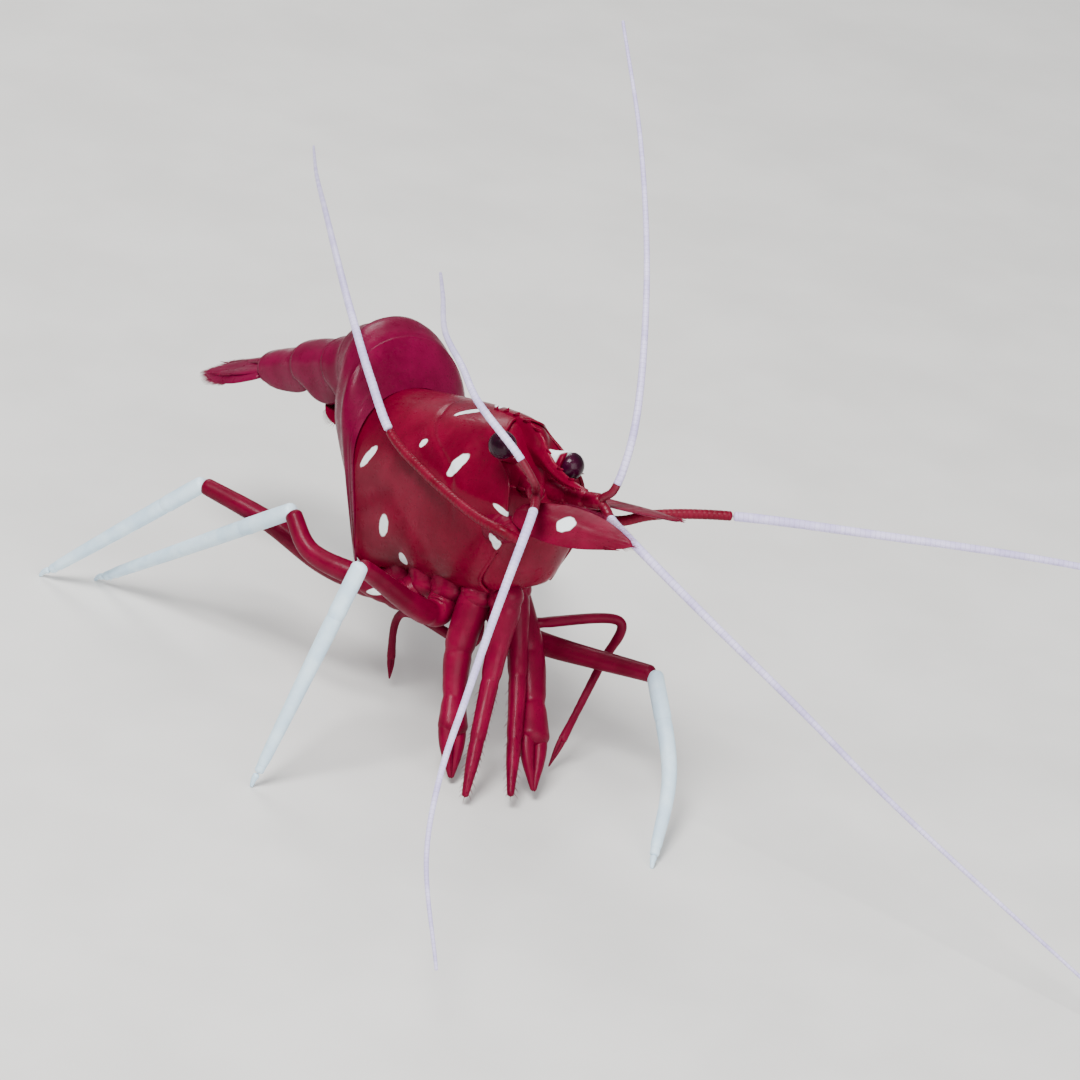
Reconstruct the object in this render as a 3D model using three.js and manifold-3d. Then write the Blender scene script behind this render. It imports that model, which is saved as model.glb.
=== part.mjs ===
// Fire shrimp (Lysmata debelius), a cleaner shrimp, life size in millimetres, standing.
// Everything is laid out in the animal's own frame: x forward, y to its left, z up,
// with the middle of the carapace at zero. One group then sets the animal on the floor,
// head toward -Y and raised a little.
import * as THREE from 'three';
import { mergeVertices } from 'three/addons/utils/BufferGeometryUtils.js';
import Module from 'manifold-3d';

// ---- driving dimensions ----
const carapaceLength = 13;
const bodyHeight = 15;            // middle of the carapace above the floor
const headUp = THREE.MathUtils.degToRad(16.1);
const undersideZ = -5.6;          // flat underside that the legs grow from
const eyeRadius = 0.82;
const bladeThickness = 0.5;       // scales, uropods and swimmerets
const seam = 0.05;                // clearance between neighbouring solids
const feelerRoot = 0.3;           // radius of a feeler where it starts
const feelerTip = 0.25;           // radius at its end
const limbSides = 8;
const feelerSides = 6;

const rear = -carapaceLength / 2;
const front = carapaceLength / 2;

// ---- colours ----
const scarlet = { color: 0x86012a, roughness: 0.35 };
const deepRed = { color: 0x8b1943, roughness: 0.4 };
const limbRed = { color: 0x7f233e, roughness: 0.45 };
const white = { color: 0xdff0f5, roughness: 0.4 };
const lavender = { color: 0xd6c8e8, roughness: 0.4 };
const eyeDark = { color: 0x3a1438, roughness: 0.12 };

const wasm = await Module();
wasm.setup();

const animal = new THREE.Group();
animal.rotation.set(-headUp, 0, -Math.PI / 2);
animal.position.z = bodyHeight;

// ---- small tools ----
const point = (p) => new THREE.Vector3(p[0], p[1], p[2]);

function addPart(name, geometry, look, parent = animal) {
  const mesh = new THREE.Mesh(geometry, new THREE.MeshStandardMaterial({ ...look, metalness: 0 }));
  mesh.name = name;
  parent.add(mesh);
  return mesh;
}

// A value that runs smoothly through [position, value] pairs, positions from 0 to 1.
function profile(pairs) {
  const curve = new THREE.SplineCurve(pairs.map(([u, v]) => new THREE.Vector2(u, v)));
  const steps = 200;
  const samples = curve.getPoints(steps);
  return (u) => {
    const last = samples.findIndex((s) => s.x >= u - 1e-9);
    if (last <= 0) return last < 0 ? samples[steps].y : samples[0].y;
    const a = samples[last - 1];
    const b = samples[last];
    return a.y + (b.y - a.y) * (u - a.x) / (b.x - a.x);
  };
}

// A closed solid of rings: place(u, angle, r) gives the point of the ring at u (0 to 1)
// and at that angle from the top; r is 1 on the skin and 0 at the middle of an end.
function loft(sides, steps, place) {
  const geometry = new THREE.CylinderGeometry(1, 1, 1, sides, steps);
  const spots = geometry.getAttribute('position');
  for (let i = 0; i < spots.count; i += 1) {
    const r = Math.min(1, Math.hypot(spots.getX(i), spots.getZ(i)));
    const angle = Math.atan2(spots.getX(i), spots.getZ(i));
    const p = place(0.5 - spots.getY(i), angle, r > 0.5 ? 1 : 0);
    spots.setXYZ(i, p.x, p.y, p.z);
  }
  return geometry;
}

const routeOf = (points) => new THREE.CatmullRomCurve3(points.map(point), false, 'centripetal');

// Frames carried along a curve without twist: t along it, a and b across it.
function framesAlong(curve, steps, from, to) {
  const frames = [];
  let a = new THREE.Vector3(0, 1, 0);
  if (Math.abs(curve.getTangentAt(from).dot(a)) > 0.98) a = new THREE.Vector3(0, 0, 1);
  for (let i = 0; i <= steps; i += 1) {
    const share = from + (to - from) * i / steps;
    const t = curve.getTangentAt(share).normalize();
    a = a.clone().addScaledVector(t, -t.dot(a)).normalize();
    frames.push({ at: curve.getPointAt(share), t, a, b: new THREE.Vector3().crossVectors(t, a) });
  }
  return frames;
}

// A round limb through the points, or the share of it between from and to. startCut and
// endCut, each { at, normal }, are the planes that its first and last rings are slid onto.
function limb(points, radius, { sides = limbSides, steps, from = 0, to = 1, startCut, endCut }) {
  const frames = framesAlong(routeOf(points), steps, from, to);
  return loft(sides, steps, (u, angle, r) => {
    const k = Math.round(u * steps);
    const f = frames[k];
    const p = f.at.clone();
    p.addScaledVector(f.a, Math.sin(angle) * r * radius(u));
    p.addScaledVector(f.b, Math.cos(angle) * r * radius(u));
    const cut = k === 0 ? startCut : k === steps ? endCut : null;
    if (cut) {
      const gap = new THREE.Vector3().subVectors(cut.at, p).dot(cut.normal);
      p.addScaledVector(f.t, gap / f.t.dot(cut.normal));
    }
    return p;
  });
}

const taper = (start, end) => (u) => start + (end - start) * u;

const undersideCut = { at: new THREE.Vector3(0, 0, undersideZ - seam), normal: new THREE.Vector3(0, 0, 1) };
const up = new THREE.Vector3(Math.sin(headUp), 0, Math.cos(headUp));
const floorCut = { at: up.clone().multiplyScalar(-bodyHeight), normal: up };

// The point of the floor below or above the animal's own x and y.
const onFloor = (x, y) => [x, y, (-bodyHeight - x * up.x) / up.z];

// manifold-3d joins and cuts.
function toManifold(geometry) {
  const bare = geometry.clone();
  bare.deleteAttribute('normal');
  bare.deleteAttribute('uv');
  const merged = mergeVertices(bare, 1e-4);
  return new wasm.Manifold(new wasm.Mesh({
    numProp: 3,
    vertProperties: Float32Array.from(merged.getAttribute('position').array),
    triVerts: Uint32Array.from(merged.getIndex().array),
  }));
}

function fromManifold(solid) {
  const mesh = solid.getMesh();
  const geometry = new THREE.BufferGeometry();
  geometry.setAttribute('position', new THREE.BufferAttribute(mesh.vertProperties, 3));
  geometry.setIndex(new THREE.BufferAttribute(mesh.triVerts, 1));
  geometry.computeVertexNormals();
  return geometry;
}

const join = (a, b) => fromManifold(toManifold(a).add(toManifold(b)));
const cut = (a, b) => fromManifold(toManifold(a).subtract(toManifold(b)));

// A thin leaf: length along +x from its root at zero, flat in the xy plane.
function leaf(length, width, rootWidth, tipSharpness = 1) {
  const outline = new THREE.Shape();
  const half = width / 2;
  const belly = 1.25;              // the outer handles, so that the leaf is widest past its middle
  const tip = half * 0.25 / tipSharpness;
  outline.moveTo(0, -rootWidth / 2);
  outline.bezierCurveTo(length * 0.2, -half, length * 0.6, -half * belly, length, -tip);
  outline.lineTo(length, tip);
  outline.bezierCurveTo(length * 0.6, half * belly, length * 0.2, half, 0, rootWidth / 2);
  outline.closePath();
  const settings = { depth: bladeThickness, bevelEnabled: false, curveSegments: 6 };
  const geometry = new THREE.ExtrudeGeometry(outline, settings);
  geometry.translate(0, 0, -bladeThickness / 2);
  return geometry;
}

// ---- carapace with its rostrum ----
const carapaceWidth = profile([[0, 4.15], [0.3, 4.3], [0.6, 4.15], [0.82, 3.6], [1, 2.9]]);
const carapaceTop = profile([[0, 4.7], [0.3, 4.8], [0.7, 4.7], [0.88, 4.3], [1, 3.5]]);
const carapaceBottom = profile([[0, 5.0], [0.25, 5.8], [0.7, 6.1], [0.88, 5.7], [1, 4.3]]);
const orbitAngle = THREE.MathUtils.degToRad(42);
const orbitSpread = THREE.MathUtils.degToRad(17);
const orbitDepth = 2.0;
const throatDepth = 2.4;

// The front rim dips back at the orbit and again toward the throat.
function frontRim(angle) {
  const fromTop = Math.abs(angle);
  const orbit = orbitDepth * Math.exp(-(((fromTop - orbitAngle) / orbitSpread) ** 2));
  const throat = throatDepth * THREE.MathUtils.smoothstep(fromTop, 1.6, 2.4);
  return front - orbit - throat;
}

function carapaceShell(grow = 0) {
  return loft(28, 9, (u, angle, r) => {
    const c = Math.cos(angle);
    const s = Math.sin(angle);
    const squareness = c > 0 ? 0.95 : 0.62;
    const reach = (c > 0 ? carapaceTop(u) : carapaceBottom(u)) + grow;
    const rim = (r === 0 ? front - orbitDepth : frontRim(angle)) + grow;
    const x = rear + (rim - rear) * u;
    const y = Math.sign(s) * Math.abs(s) ** squareness * (carapaceWidth(u) + grow) * r;
    const z = Math.sign(c) * Math.abs(c) ** squareness * reach * r;
    return new THREE.Vector3(x, y, Math.max(z, undersideZ - grow));
  });
}

const rostrumTip = new THREE.Vector2(10.3, 1.35);
const rostrumThickness = 0.56;
const upperTeeth = 7;
const lowerTeeth = 3;
const toothHeight = 0.38;

// A blade in the middle plane: teeth along the crest, fewer on the keel below.
function rostrumBlade() {
  const crest = new THREE.SplineCurve([
    [0.6, 4.65], [3.4, 4.8], [5.5, 4.3], [7.2, 2.95], [8.0, 2.36], [8.95, 1.75], [10.3, 1.35],
  ].map(([x, z]) => new THREE.Vector2(x, z)));
  const keel = new THREE.SplineCurve([[10.3, 1.35], [8.4, 1.2], [6.4, 1.75], [4.4, 2.5]]
    .map(([x, z]) => new THREE.Vector2(x, z)));
  const outline = new THREE.Shape();
  outline.moveTo(0.6, 3.9);
  outline.lineTo(0.6, 4.7);
  for (let i = 0; i < upperTeeth; i += 1) {
    const foot = crest.getPointAt(0.12 + 0.8 * i / upperTeeth);
    const crown = crest.getPointAt(0.12 + 0.8 * (i + 0.85) / upperTeeth);
    outline.lineTo(foot.x, foot.y);
    outline.lineTo(crown.x, crown.y + toothHeight * (1 - 0.5 * i / upperTeeth));
  }
  const neck = crest.getPointAt(0.93);
  outline.lineTo(neck.x, neck.y);
  outline.lineTo(rostrumTip.x, rostrumTip.y);
  for (let i = 0; i < lowerTeeth; i += 1) {
    const foot = keel.getPointAt(0.15 + 0.5 * i / lowerTeeth);
    const crown = keel.getPointAt(0.19 + 0.5 * i / lowerTeeth);
    outline.lineTo(crown.x, crown.y - 0.3);
    outline.lineTo(foot.x - 0.35, foot.y + 0.05);
  }
  outline.lineTo(4.4, 2.5);
  outline.closePath();
  const blade = new THREE.ExtrudeGeometry(outline, { depth: rostrumThickness, bevelEnabled: false });
  blade.rotateX(Math.PI / 2);
  blade.translate(0, rostrumThickness / 2, 0);
  return blade;
}

addPart('carapace', join(carapaceShell(), rostrumBlade()), scarlet);

// ---- abdomen: six somites between seven ring planes, humped at the third ----
// tuck is how far the side flaps close in at their lower rims, as a share of the width
const rings = [
  { x: -6.55, y: 0, z: 0.5, lean: 0, width: 4.2, rise: 4.2, drop: 5.4, tuck: 0.03 },
  { x: -7.5, y: 0.45, z: 2.5, lean: -2, width: 4.45, rise: 4.65, drop: 6.9, tuck: 0.1 },
  { x: -8.7, y: 1.05, z: 3.45, lean: -9, width: 4.25, rise: 4.8, drop: 6.5, tuck: 0.2 },
  { x: -10.6, y: 1.35, z: 4.4, lean: -19, width: 3.15, rise: 3.5, drop: 4.2, tuck: 0.25 },
  { x: -12.9, y: 1.1, z: 5.0, lean: -20, width: 2.35, rise: 1.8, drop: 2.3, tuck: 0.2 },
  { x: -16.0, y: 0.7, z: 4.75, lean: -13, width: 1.9, rise: 1.4, drop: 1.7, tuck: 0.2 },
  { x: -20.0, y: 0.3, z: 3.95, lean: -11, width: 1.5, rise: 0.95, drop: 1.05, tuck: 0.2 },
];
const pleuraLobe = [0.6, 0.5, 0.4, 0.5, 0.5, 0];      // how far each side flap is rounded out below
const tergiteSwell = [0.1, 0.15, 0.35, 0.15, 0.1, 0.1];
const somiteSides = 24;
const somiteSteps = 4;
const backRoundness = 0.9;
const flapSpan = 60;              // degrees of the section given to each side flap
const floorSpan = 180 - 90 - flapSpan;
const rimAngle = 90 + flapSpan;
const floorOfSomite = 0.72;       // flesh between the side flaps, as a share of the drop

// Seen along the body, a somite has a rounded back, side flaps that hang below its widest
// point, and flesh that closes the space between them.
function somite(index) {
  const a = rings[index];
  const b = rings[index + 1];
  const startShare = seam / Math.hypot(b.x - a.x, b.z - a.z);
  return loft(somiteSides, somiteSteps, (u, angle, r) => {
    const share = startShare + u * (1 - startShare);
    const mix = (key) => a[key] + (b[key] - a[key]) * share;
    const arch = Math.sin(Math.PI * u);
    const swell = tergiteSwell[index] * arch;
    const lobe = pleuraLobe[index] * arch;
    const width = mix('width') + swell * 0.4;
    const drop = mix('drop');
    const fromTop = THREE.MathUtils.radToDeg(Math.abs(angle));
    let across = width * (1 - mix('tuck'));
    let high = 0;
    if (fromTop <= 90) {
      across = width * Math.sin(Math.abs(angle)) ** backRoundness;
      high = (mix('rise') + swell) * Math.max(0, Math.cos(angle)) ** backRoundness;
    } else if (fromTop <= rimAngle + 0.5) {
      const t = (fromTop - 90) / flapSpan;
      across = width * (1 - mix('tuck') * t * t);
      high = -(drop + lobe) * t;
    } else {
      const t = (fromTop - rimAngle) / floorSpan;
      const floor = drop * floorOfSomite;
      across = width * (1 - mix('tuck')) * (1 - t) ** 0.6;
      high = -Math.max(floor, drop + lobe - (drop - floor) * 1.6 * t);
    }
    const lean = THREE.MathUtils.degToRad(mix('lean'));
    // the loft runs backward here, so left and right change places to keep the faces outward
    return new THREE.Vector3(
      mix('x') + Math.sin(lean) * high * r,
      mix('y') - Math.sign(angle) * across * r,
      mix('z') + Math.cos(lean) * high * r,
    );
  });
}

for (let i = 0; i < 6; i += 1) {
  addPart(`abdomen_${i + 1}`, somite(i), deepRed);
}

// ---- tail fan, carried on the last ring ----
const tailBank = -9;               // degrees the fan is rolled over
const tail = new THREE.Group();
const lastRing = rings[6];
tail.position.set(lastRing.x, lastRing.y, lastRing.z);
tail.rotation.order = 'ZYX';
tail.rotation.y = THREE.MathUtils.degToRad(lastRing.lean);
tail.rotation.x = THREE.MathUtils.degToRad(tailBank);
animal.add(tail);

const telsonLength = 5.2;
const telsonHalfWidth = taper(1.0, 0.38);
const telsonHalfThickness = taper(0.5, 0.26);
const telsonHeight = taper(0.35, 0.15);
addPart('telson', loft(12, 3, (u, angle, r) => new THREE.Vector3(
  -seam - telsonLength * u,
  -Math.sin(angle) * telsonHalfWidth(u) * r,
  telsonHeight(u) + Math.cos(angle) * telsonHalfThickness(u) * r,
)), deepRed, tail);

const uropodRootWidth = 0.7;
const uropods = [
  { name: 'inner', length: 5.0, width: 1.7, out: 0.95, down: -0.3, splay: 5 },
  { name: 'outer', length: 5.2, width: 2.0, out: 1.15, down: -0.85, splay: 13 },
];
for (const side of [1, -1]) {
  for (const fan of uropods) {
    const name = `uropod_${fan.name}_${side > 0 ? 'L' : 'R'}`;
    const blade = addPart(name, leaf(fan.length, fan.width, uropodRootWidth), deepRed, tail);
    blade.position.set(-2 * seam, side * fan.out, fan.down);
    blade.rotation.z = Math.PI - side * THREE.MathUtils.degToRad(fan.splay);
  }
}

// ---- swimmerets: a pair of leaves under each of the first five somites ----
const swimmeretLength = [3.8, 4.2, 4.0, 3.4, 2.8];
const swimmeretWidth = 1.5;
const swimmeretRootWidth = 0.8;
const swimmeretOut = 0.4;         // to the side, as a share of the somite's half width
const swimmeretClear = 0.9;       // below the curved underside of its somite
const swimmeretSweep = [20, 15, 0, -20, -45];   // degrees back from straight down
for (let i = 0; i < 5; i += 1) {
  const between = (key) => (rings[i][key] + rings[i + 1][key]) / 2;
  for (const side of [1, -1]) {
    const shape = leaf(swimmeretLength[i], swimmeretWidth, swimmeretRootWidth);
    const blade = addPart(`swimmeret_${i + 1}_${side > 0 ? 'L' : 'R'}`, shape, deepRed);
    blade.position.set(
      between('x'),
      between('y') + side * between('width') * swimmeretOut,
      between('z') - between('drop') * floorOfSomite - swimmeretClear,
    );
    blade.rotation.order = 'ZYX';
    blade.rotation.y = THREE.MathUtils.degToRad(90 + swimmeretSweep[i]);
    blade.rotation.z = side * 0.1;
  }
}

const grownCarapace = carapaceShell(seam);

// ---- eyes on their stalks ----
const eyes = {
  R: { root: [5.1, -1.5, 2.6], eye: [6.75, -3.4, 3.9] },
  L: { root: [5.1, 1.3, 2.3], eye: [6.55, 1.8, 1.85] },
};
for (const [side, place] of Object.entries(eyes)) {
  const ball = new THREE.SphereGeometry(eyeRadius, 14, 10);
  ball.translate(...place.eye);
  const socket = new THREE.SphereGeometry(eyeRadius + seam, 14, 10);
  socket.translate(...place.eye);
  const stalk = limb([place.root, place.eye], taper(0.42, 0.6), { steps: 3 });
  addPart(`eyestalk_${side}`, cut(cut(stalk, socket), grownCarapace), scarlet);
  addPart(`eye_${side}`, ball, eyeDark);
}

// ---- antennules: a jointed base with two white feelers each ----
const antennules = {
  R: {
    base: [[4.9, -0.9, 1.0], [7.2, -1.5, 1.0], [9.2, -3.0, 1.4]],
    outer: [[9.3, -3.05, 1.75], [9.7, -3.5, 2.2], [9.2, -4.2, 3.8], [6.4, -4.8, 6.5], [3.0, -3.3, 7.9],
      [-2.6, -0.1, 8.6], [-10.9, 6.2, 8.9], [-20.6, 13.6, 8.1]],
    inner: [[9.3, -3.08, 1.1], [9.8, -3.5, 1.0], [10.7, -4.6, 0.4], [12.3, -8.4, -3.9], [14.7, -12.6, -7.8],
      [17.2, -16.5, -11.1], [20.1, -19.8, -14.4], [25.7, -23.6, -18.7]],
  },
  L: {
    base: [[4.9, 0.85, 0.6], [7.4, 0.95, 0.35], [10.6, 0.9, 0.5]],
    outer: [[10.7, 0.9, 0.85], [11.25, 1.1, 1.25], [11.5, 2.4, 4.3], [8.2, 6.3, 11.4], [2.8, 10.6, 19.0],
      [-3.8, 14.8, 25.7]],
    inner: [[10.75, 0.88, 0.2], [11.4, 0.75, -0.3], [13.7, 0.2, -1.0], [17.6, 2.0, -4.7], [22.9, 4.9, -10.0],
      [28.1, 7.7, -15.3], [38.6, 12.4, -24.1]],
  },
};
const shortFeelerSteps = 16;

for (const [side, a] of Object.entries(antennules)) {
  const base = limb(a.base, taper(0.55, 0.5), { steps: 5 });
  addPart(`antennule_${side}`, cut(base, grownCarapace), scarlet);
  for (const branch of ['outer', 'inner']) {
    const radius = taper(feelerRoot, feelerTip);
    const feeler = limb(a[branch], radius, { sides: feelerSides, steps: shortFeelerSteps });
    addPart(`antennule_feeler_${branch}_${side}`, feeler, lavender);
  }
}

// ---- antennae: a stout base, a leaf-like scale and a feeler in two lengths ----
const antennae = {
  R: {
    base: [[4.9, -2.4, -1.3], [6.6, -3.0, -1.2], [8.0, -3.6, -1.2]],
    scale: { root: [6.9, -2.7, -0.1], tip: [15.6, -1.1, -0.9], roll: 25 },
    feeler: [[8.06, -3.63, -1.2], [8.75, -4.1, -1.2], [8.6, -4.85, -0.7], [6.6, -5.1, -0.2], [1.5, -4.9, 1.5],
      [-1.9, -4.8, 3.3], [-4.5, -4.3, 6.2], [-8.5, -2.7, 9.6], [-13.9, 0.4, 11.7], [-21.1, 5.0, 13.0],
      [-31.4, 12.0, 13.3], [-43.0, 20.4, 12.9]],
    redShare: 0.21,
  },
  L: {
    base: [[4.9, 2.4, -1.3], [6.8, 2.9, -1.3], [8.6, 3.2, -1.3]],
    scale: { root: [6.9, 3.0, -0.2], tip: [15.2, 2.7, -0.1], roll: -12 },
    feeler: [[8.66, 3.2, -1.3], [9.4, 3.5, -1.2], [10.4, 4.7, -0.9], [12.7, 7.9, -1.0], [17.7, 14.4, -2.2],
      [24.8, 25.5, -4.8], [31.5, 37.2, -8.8], [39.8, 51.3, -15.9]],
    redShare: 0.12,
  },
};
const scaleWidth = 2.8;
const scaleRootWidth = 0.9;
const redSteps = 12;
const longFeelerSteps = 20;

for (const [side, a] of Object.entries(antennae)) {
  const base = limb(a.base, taper(0.62, 0.5), { steps: 4 });
  addPart(`antenna_base_${side}`, cut(base, grownCarapace), scarlet);
  const along = point(a.scale.tip).sub(point(a.scale.root));
  const shape = leaf(along.length(), scaleWidth, scaleRootWidth, 2);
  const blade = addPart(`antenna_scale_${side}`, shape, scarlet);
  blade.position.set(...a.scale.root);
  blade.rotation.order = 'ZYX';
  blade.rotation.z = Math.atan2(along.y, along.x);
  blade.rotation.y = -Math.asin(along.z / along.length());
  blade.rotation.x = THREE.MathUtils.degToRad(a.scale.roll);
  const share = seam / routeOf(a.feeler).getLength();
  const radius = taper(feelerRoot, feelerTip);
  const lengths = {
    red: { from: 0, to: a.redShare, steps: redSteps, look: scarlet },
    white: { from: a.redShare + share, to: 1, steps: longFeelerSteps, look: lavender },
  };
  for (const [colour, { look, ...span }] of Object.entries(lengths)) {
    const reach = (u) => radius(span.from + (span.to - span.from) * u);
    const feeler = limb(a.feeler, reach, { sides: feelerSides, ...span });
    addPart(`antenna_feeler_${colour}_${side}`, feeler, look);
  }
}

// ---- third maxillipeds and the two pairs of cheliped, hanging under the head ----
const rootZ = undersideZ - seam;
const mouthLimbs = {
  maxilliped_3_R: {
    joints: [[4.2, -1.1, rootZ], [3.9, -2.0, -9.8], [6.2, -6.2, -16.8]],
    thick: [0.58, 0.28],
  },
  maxilliped_3_L: {
    joints: [[2.3, 0.8, rootZ], [3.6, 0.0, -10.4], [7.6, -3.9, -16.9]],
    thick: [0.58, 0.28],
  },
  cheliped_1_R: {
    joints: [[2.3, -1.8, rootZ], [1.8, -3.0, -9.4], [3.9, -5.4, -16.0]],
    thick: [0.7, 0.6],
    claw: 0.25,
  },
  cheliped_1_L: {
    joints: [[1.0, 1.4, rootZ], [3.2, 1.3, -10.3], [7.4, -2.0, -16.8]],
    thick: [0.65, 0.55],
    claw: 0.25,
  },
  cheliped_2_R: {
    joints: [[1.0, -0.9, rootZ], [0.6, -0.9, -9.4], [-5.6, -1.6, -8.8], [-6.6, -1.8, -13.0]],
    thick: [0.32, 0.26],
    claw: 0.1,
  },
  cheliped_2_L: {
    joints: [[-0.2, 0.5, rootZ], [0.4, 0.7, -8.3], [4.9, 6.9, -8.8], [4.3, 5.8, -11.3], [5.0, 1.1, -16.6]],
    thick: [0.32, 0.26],
    claw: 0.1,
  },
};
const clawMiddle = 0.86;
const clawSpread = 0.09;

for (const [name, { joints, thick, claw = 0 }] of Object.entries(mouthLimbs)) {
  const swell = (u) => claw * Math.exp(-(((u - clawMiddle) / clawSpread) ** 2));
  const close = (u) => (claw > 0 ? 1 - 0.45 * THREE.MathUtils.smoothstep(u, clawMiddle, 1) : 1);
  const radius = (u) => Math.max(0.25, (taper(...thick)(u) + swell(u)) * close(u));
  const steps = joints.length > 3 ? 16 : 10;
  addPart(name, limb(joints, radius, { steps, startCut: undersideCut }), limbRed);
}

// ---- walking legs: a red upper length and a white lower one, parted at the knee ----
const legs = {
  '3_R': {
    upper: [[0.0, -2.2, rootZ], [0.3, -3.4, -7.2], [2.7, -10.8, -2.8]],
    lower: [onFloor(-0.3, -16.8)],
  },
  '3_L': {
    upper: [[0.0, 2.1, rootZ], [-0.3, 2.0, -8.9], [1.2, 2.7, -9.7], [8.6, 6.4, -11.2]],
    lower: [[12.4, 4.2, -16.0], onFloor(15.8, -0.1)],
  },
  '4_R': {
    upper: [
      [-2.2, -2.2, rootZ], [-2.6, -3.6, -6.7], [-3.9, -6.2, -5.3],
      [-6.55, -7.6, -4.0], [-8.2, -7.6, -1.9],
    ],
    lower: [onFloor(-24.4, -11)],
  },
  '4_L': {
    upper: [[-2.2, 2.2, rootZ], [-3.0, 3.8, -7.0], [-8.5, 11.2, -3.5]],
    lower: [onFloor(-17.5, 17.5)],
  },
  '5_R': {
    upper: [
      [-4.2, -2.1, rootZ], [-5.4, -3.0, -6.6], [-8.3, -4.9, -5.7],
      [-11.65, -6.95, -3.2], [-15.5, -8.9, -1.3],
    ],
    lower: [onFloor(-26, -14)],
  },
  '5_L': {
    upper: [[-4.2, 2.1, rootZ], [-5.4, 3.6, -6.7], [-9.5, 6.6, -4.4], [-14.0, 8.5, -1.0]],
    lower: [onFloor(-24, 10)],
  },
};
const thighRadius = profile([[0, 0.66], [0.35, 0.76], [0.7, 0.7], [1, 0.6]]);
const kneeRadius = 0.5;
const footRadius = 0.29;

for (const [name, { upper, lower }] of Object.entries(legs)) {
  const knee = upper[upper.length - 1];
  const down = [knee, ...lower];
  const before = routeOf(upper).getTangentAt(1);
  const after = routeOf(down).getTangentAt(0);
  const normal = before.clone().add(after).normalize();
  const thigh = limb(upper, thighRadius, {
    steps: 9,
    startCut: undersideCut,
    endCut: { at: point(knee).addScaledVector(normal, -seam / 2), normal },
  });
  const shin = limb(down, taper(kneeRadius, footRadius), {
    steps: 8,
    startCut: { at: point(knee).addScaledVector(normal, seam / 2), normal },
    endCut: floorCut,
  });
  addPart(`leg_${name}_upper`, thigh, limbRed);
  addPart(`leg_${name}_lower`, shin, white);
}

// ---- put the origin under the middle of it all ----
const shrimp = new THREE.Group();
shrimp.add(animal);
const bounds = new THREE.Box3().setFromObject(shrimp, true);
const middle = bounds.getCenter(new THREE.Vector3());
animal.position.x -= middle.x;
animal.position.y -= middle.y;

export default shrimp;
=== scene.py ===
import random
from bisect import bisect_left, bisect_right
from math import asin, atan, atan2, cos, exp, pi, radians, sin, tau

import bpy
from mathutils import Matrix, Vector


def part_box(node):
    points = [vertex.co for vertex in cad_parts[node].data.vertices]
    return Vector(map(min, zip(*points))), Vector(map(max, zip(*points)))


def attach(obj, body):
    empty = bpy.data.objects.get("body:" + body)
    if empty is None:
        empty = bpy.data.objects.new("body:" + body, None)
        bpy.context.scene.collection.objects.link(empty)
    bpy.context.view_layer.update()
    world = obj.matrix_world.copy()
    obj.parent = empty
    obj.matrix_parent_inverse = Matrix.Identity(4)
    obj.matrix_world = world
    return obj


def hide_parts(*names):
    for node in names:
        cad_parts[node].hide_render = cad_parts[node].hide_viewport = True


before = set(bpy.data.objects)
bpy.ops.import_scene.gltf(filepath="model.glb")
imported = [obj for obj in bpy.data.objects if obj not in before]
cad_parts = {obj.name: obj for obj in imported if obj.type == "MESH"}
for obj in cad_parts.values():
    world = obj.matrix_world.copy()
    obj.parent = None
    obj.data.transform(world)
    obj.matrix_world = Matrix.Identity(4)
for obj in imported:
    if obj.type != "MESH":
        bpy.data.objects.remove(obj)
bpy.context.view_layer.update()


# ---- Trunk ----
# The soft trunk inside the head shell: red flesh that closes the shell at the throat and along the
# underside, where every leg has its root. It is one skin that the hard shell covers.

# Pieces are drawn in the animal's own millimetres (x forward, y to its left, z up, the middle of
# the head shell at zero), and are then set in its stance.
MM = 0.001
HEAD_UP = radians(16.1)
SIDES = {"L": 1, "R": -1}
EYE_PLACES = {"R": (6.75, -3.4, 3.9), "L": (6.55, 1.8, 1.85)}
turn = Matrix((
    (0, 1, 0),
    (-cos(HEAD_UP), 0, sin(HEAD_UP)),
    (sin(HEAD_UP), 0, cos(HEAD_UP)),
))
eye_low, eye_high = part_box("eye_R")
trunk_middle = (eye_low + eye_high) / 2 - turn @ Vector(EYE_PLACES["R"]) * MM
stance = Matrix.Translation(trunk_middle) @ turn.to_4x4() @ Matrix.Scale(MM, 4)


def between(t, start, leave, end, arrive):
    """A smooth step from start to end, with the slopes leave and arrive."""
    return (
        (2 * t**3 - 3 * t**2 + 1) * start + (t**3 - 2 * t**2 + t) * leave
        + (3 * t**2 - 2 * t**3) * end + (t**3 - t**2) * arrive)


def profile(pairs):
    """A smooth value through (position, value) pairs."""
    spots = [p[0] for p in pairs]
    values = [p[1] for p in pairs]
    last = len(pairs) - 1
    slopes = []
    for i in range(last + 1):
        before, after = max(0, i - 1), min(last, i + 1)
        slopes.append((values[after] - values[before]) / (spots[after] - spots[before]))

    def value(u):
        i = max(0, min(last - 1, bisect_right(spots, u) - 1))
        span = spots[i + 1] - spots[i]
        t = max(0.0, min(1.0, (u - spots[i]) / span))
        return between(t, values[i], slopes[i] * span, values[i + 1], slopes[i + 1] * span)

    return value


def ease(low, high, value):
    """0 below low, 1 above high, and smooth between."""
    t = max(0.0, min(1.0, (value - low) / (high - low)))
    return t * t * (3 - 2 * t)


def bump(distance, width):
    return exp(-((distance / width) ** 2))


SEAM = 1e-4


def add_mesh(kind, **sizes):
    """A mesh of one of Blender's own kinds, with the mark that some materials read."""
    bpy.ops.object.select_all(action="DESELECT")
    getattr(bpy.ops.mesh, f"primitive_{kind}_add")(**sizes)
    made = bpy.context.object
    made.data.attributes.new("mark", "FLOAT", "POINT")
    return made


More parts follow.
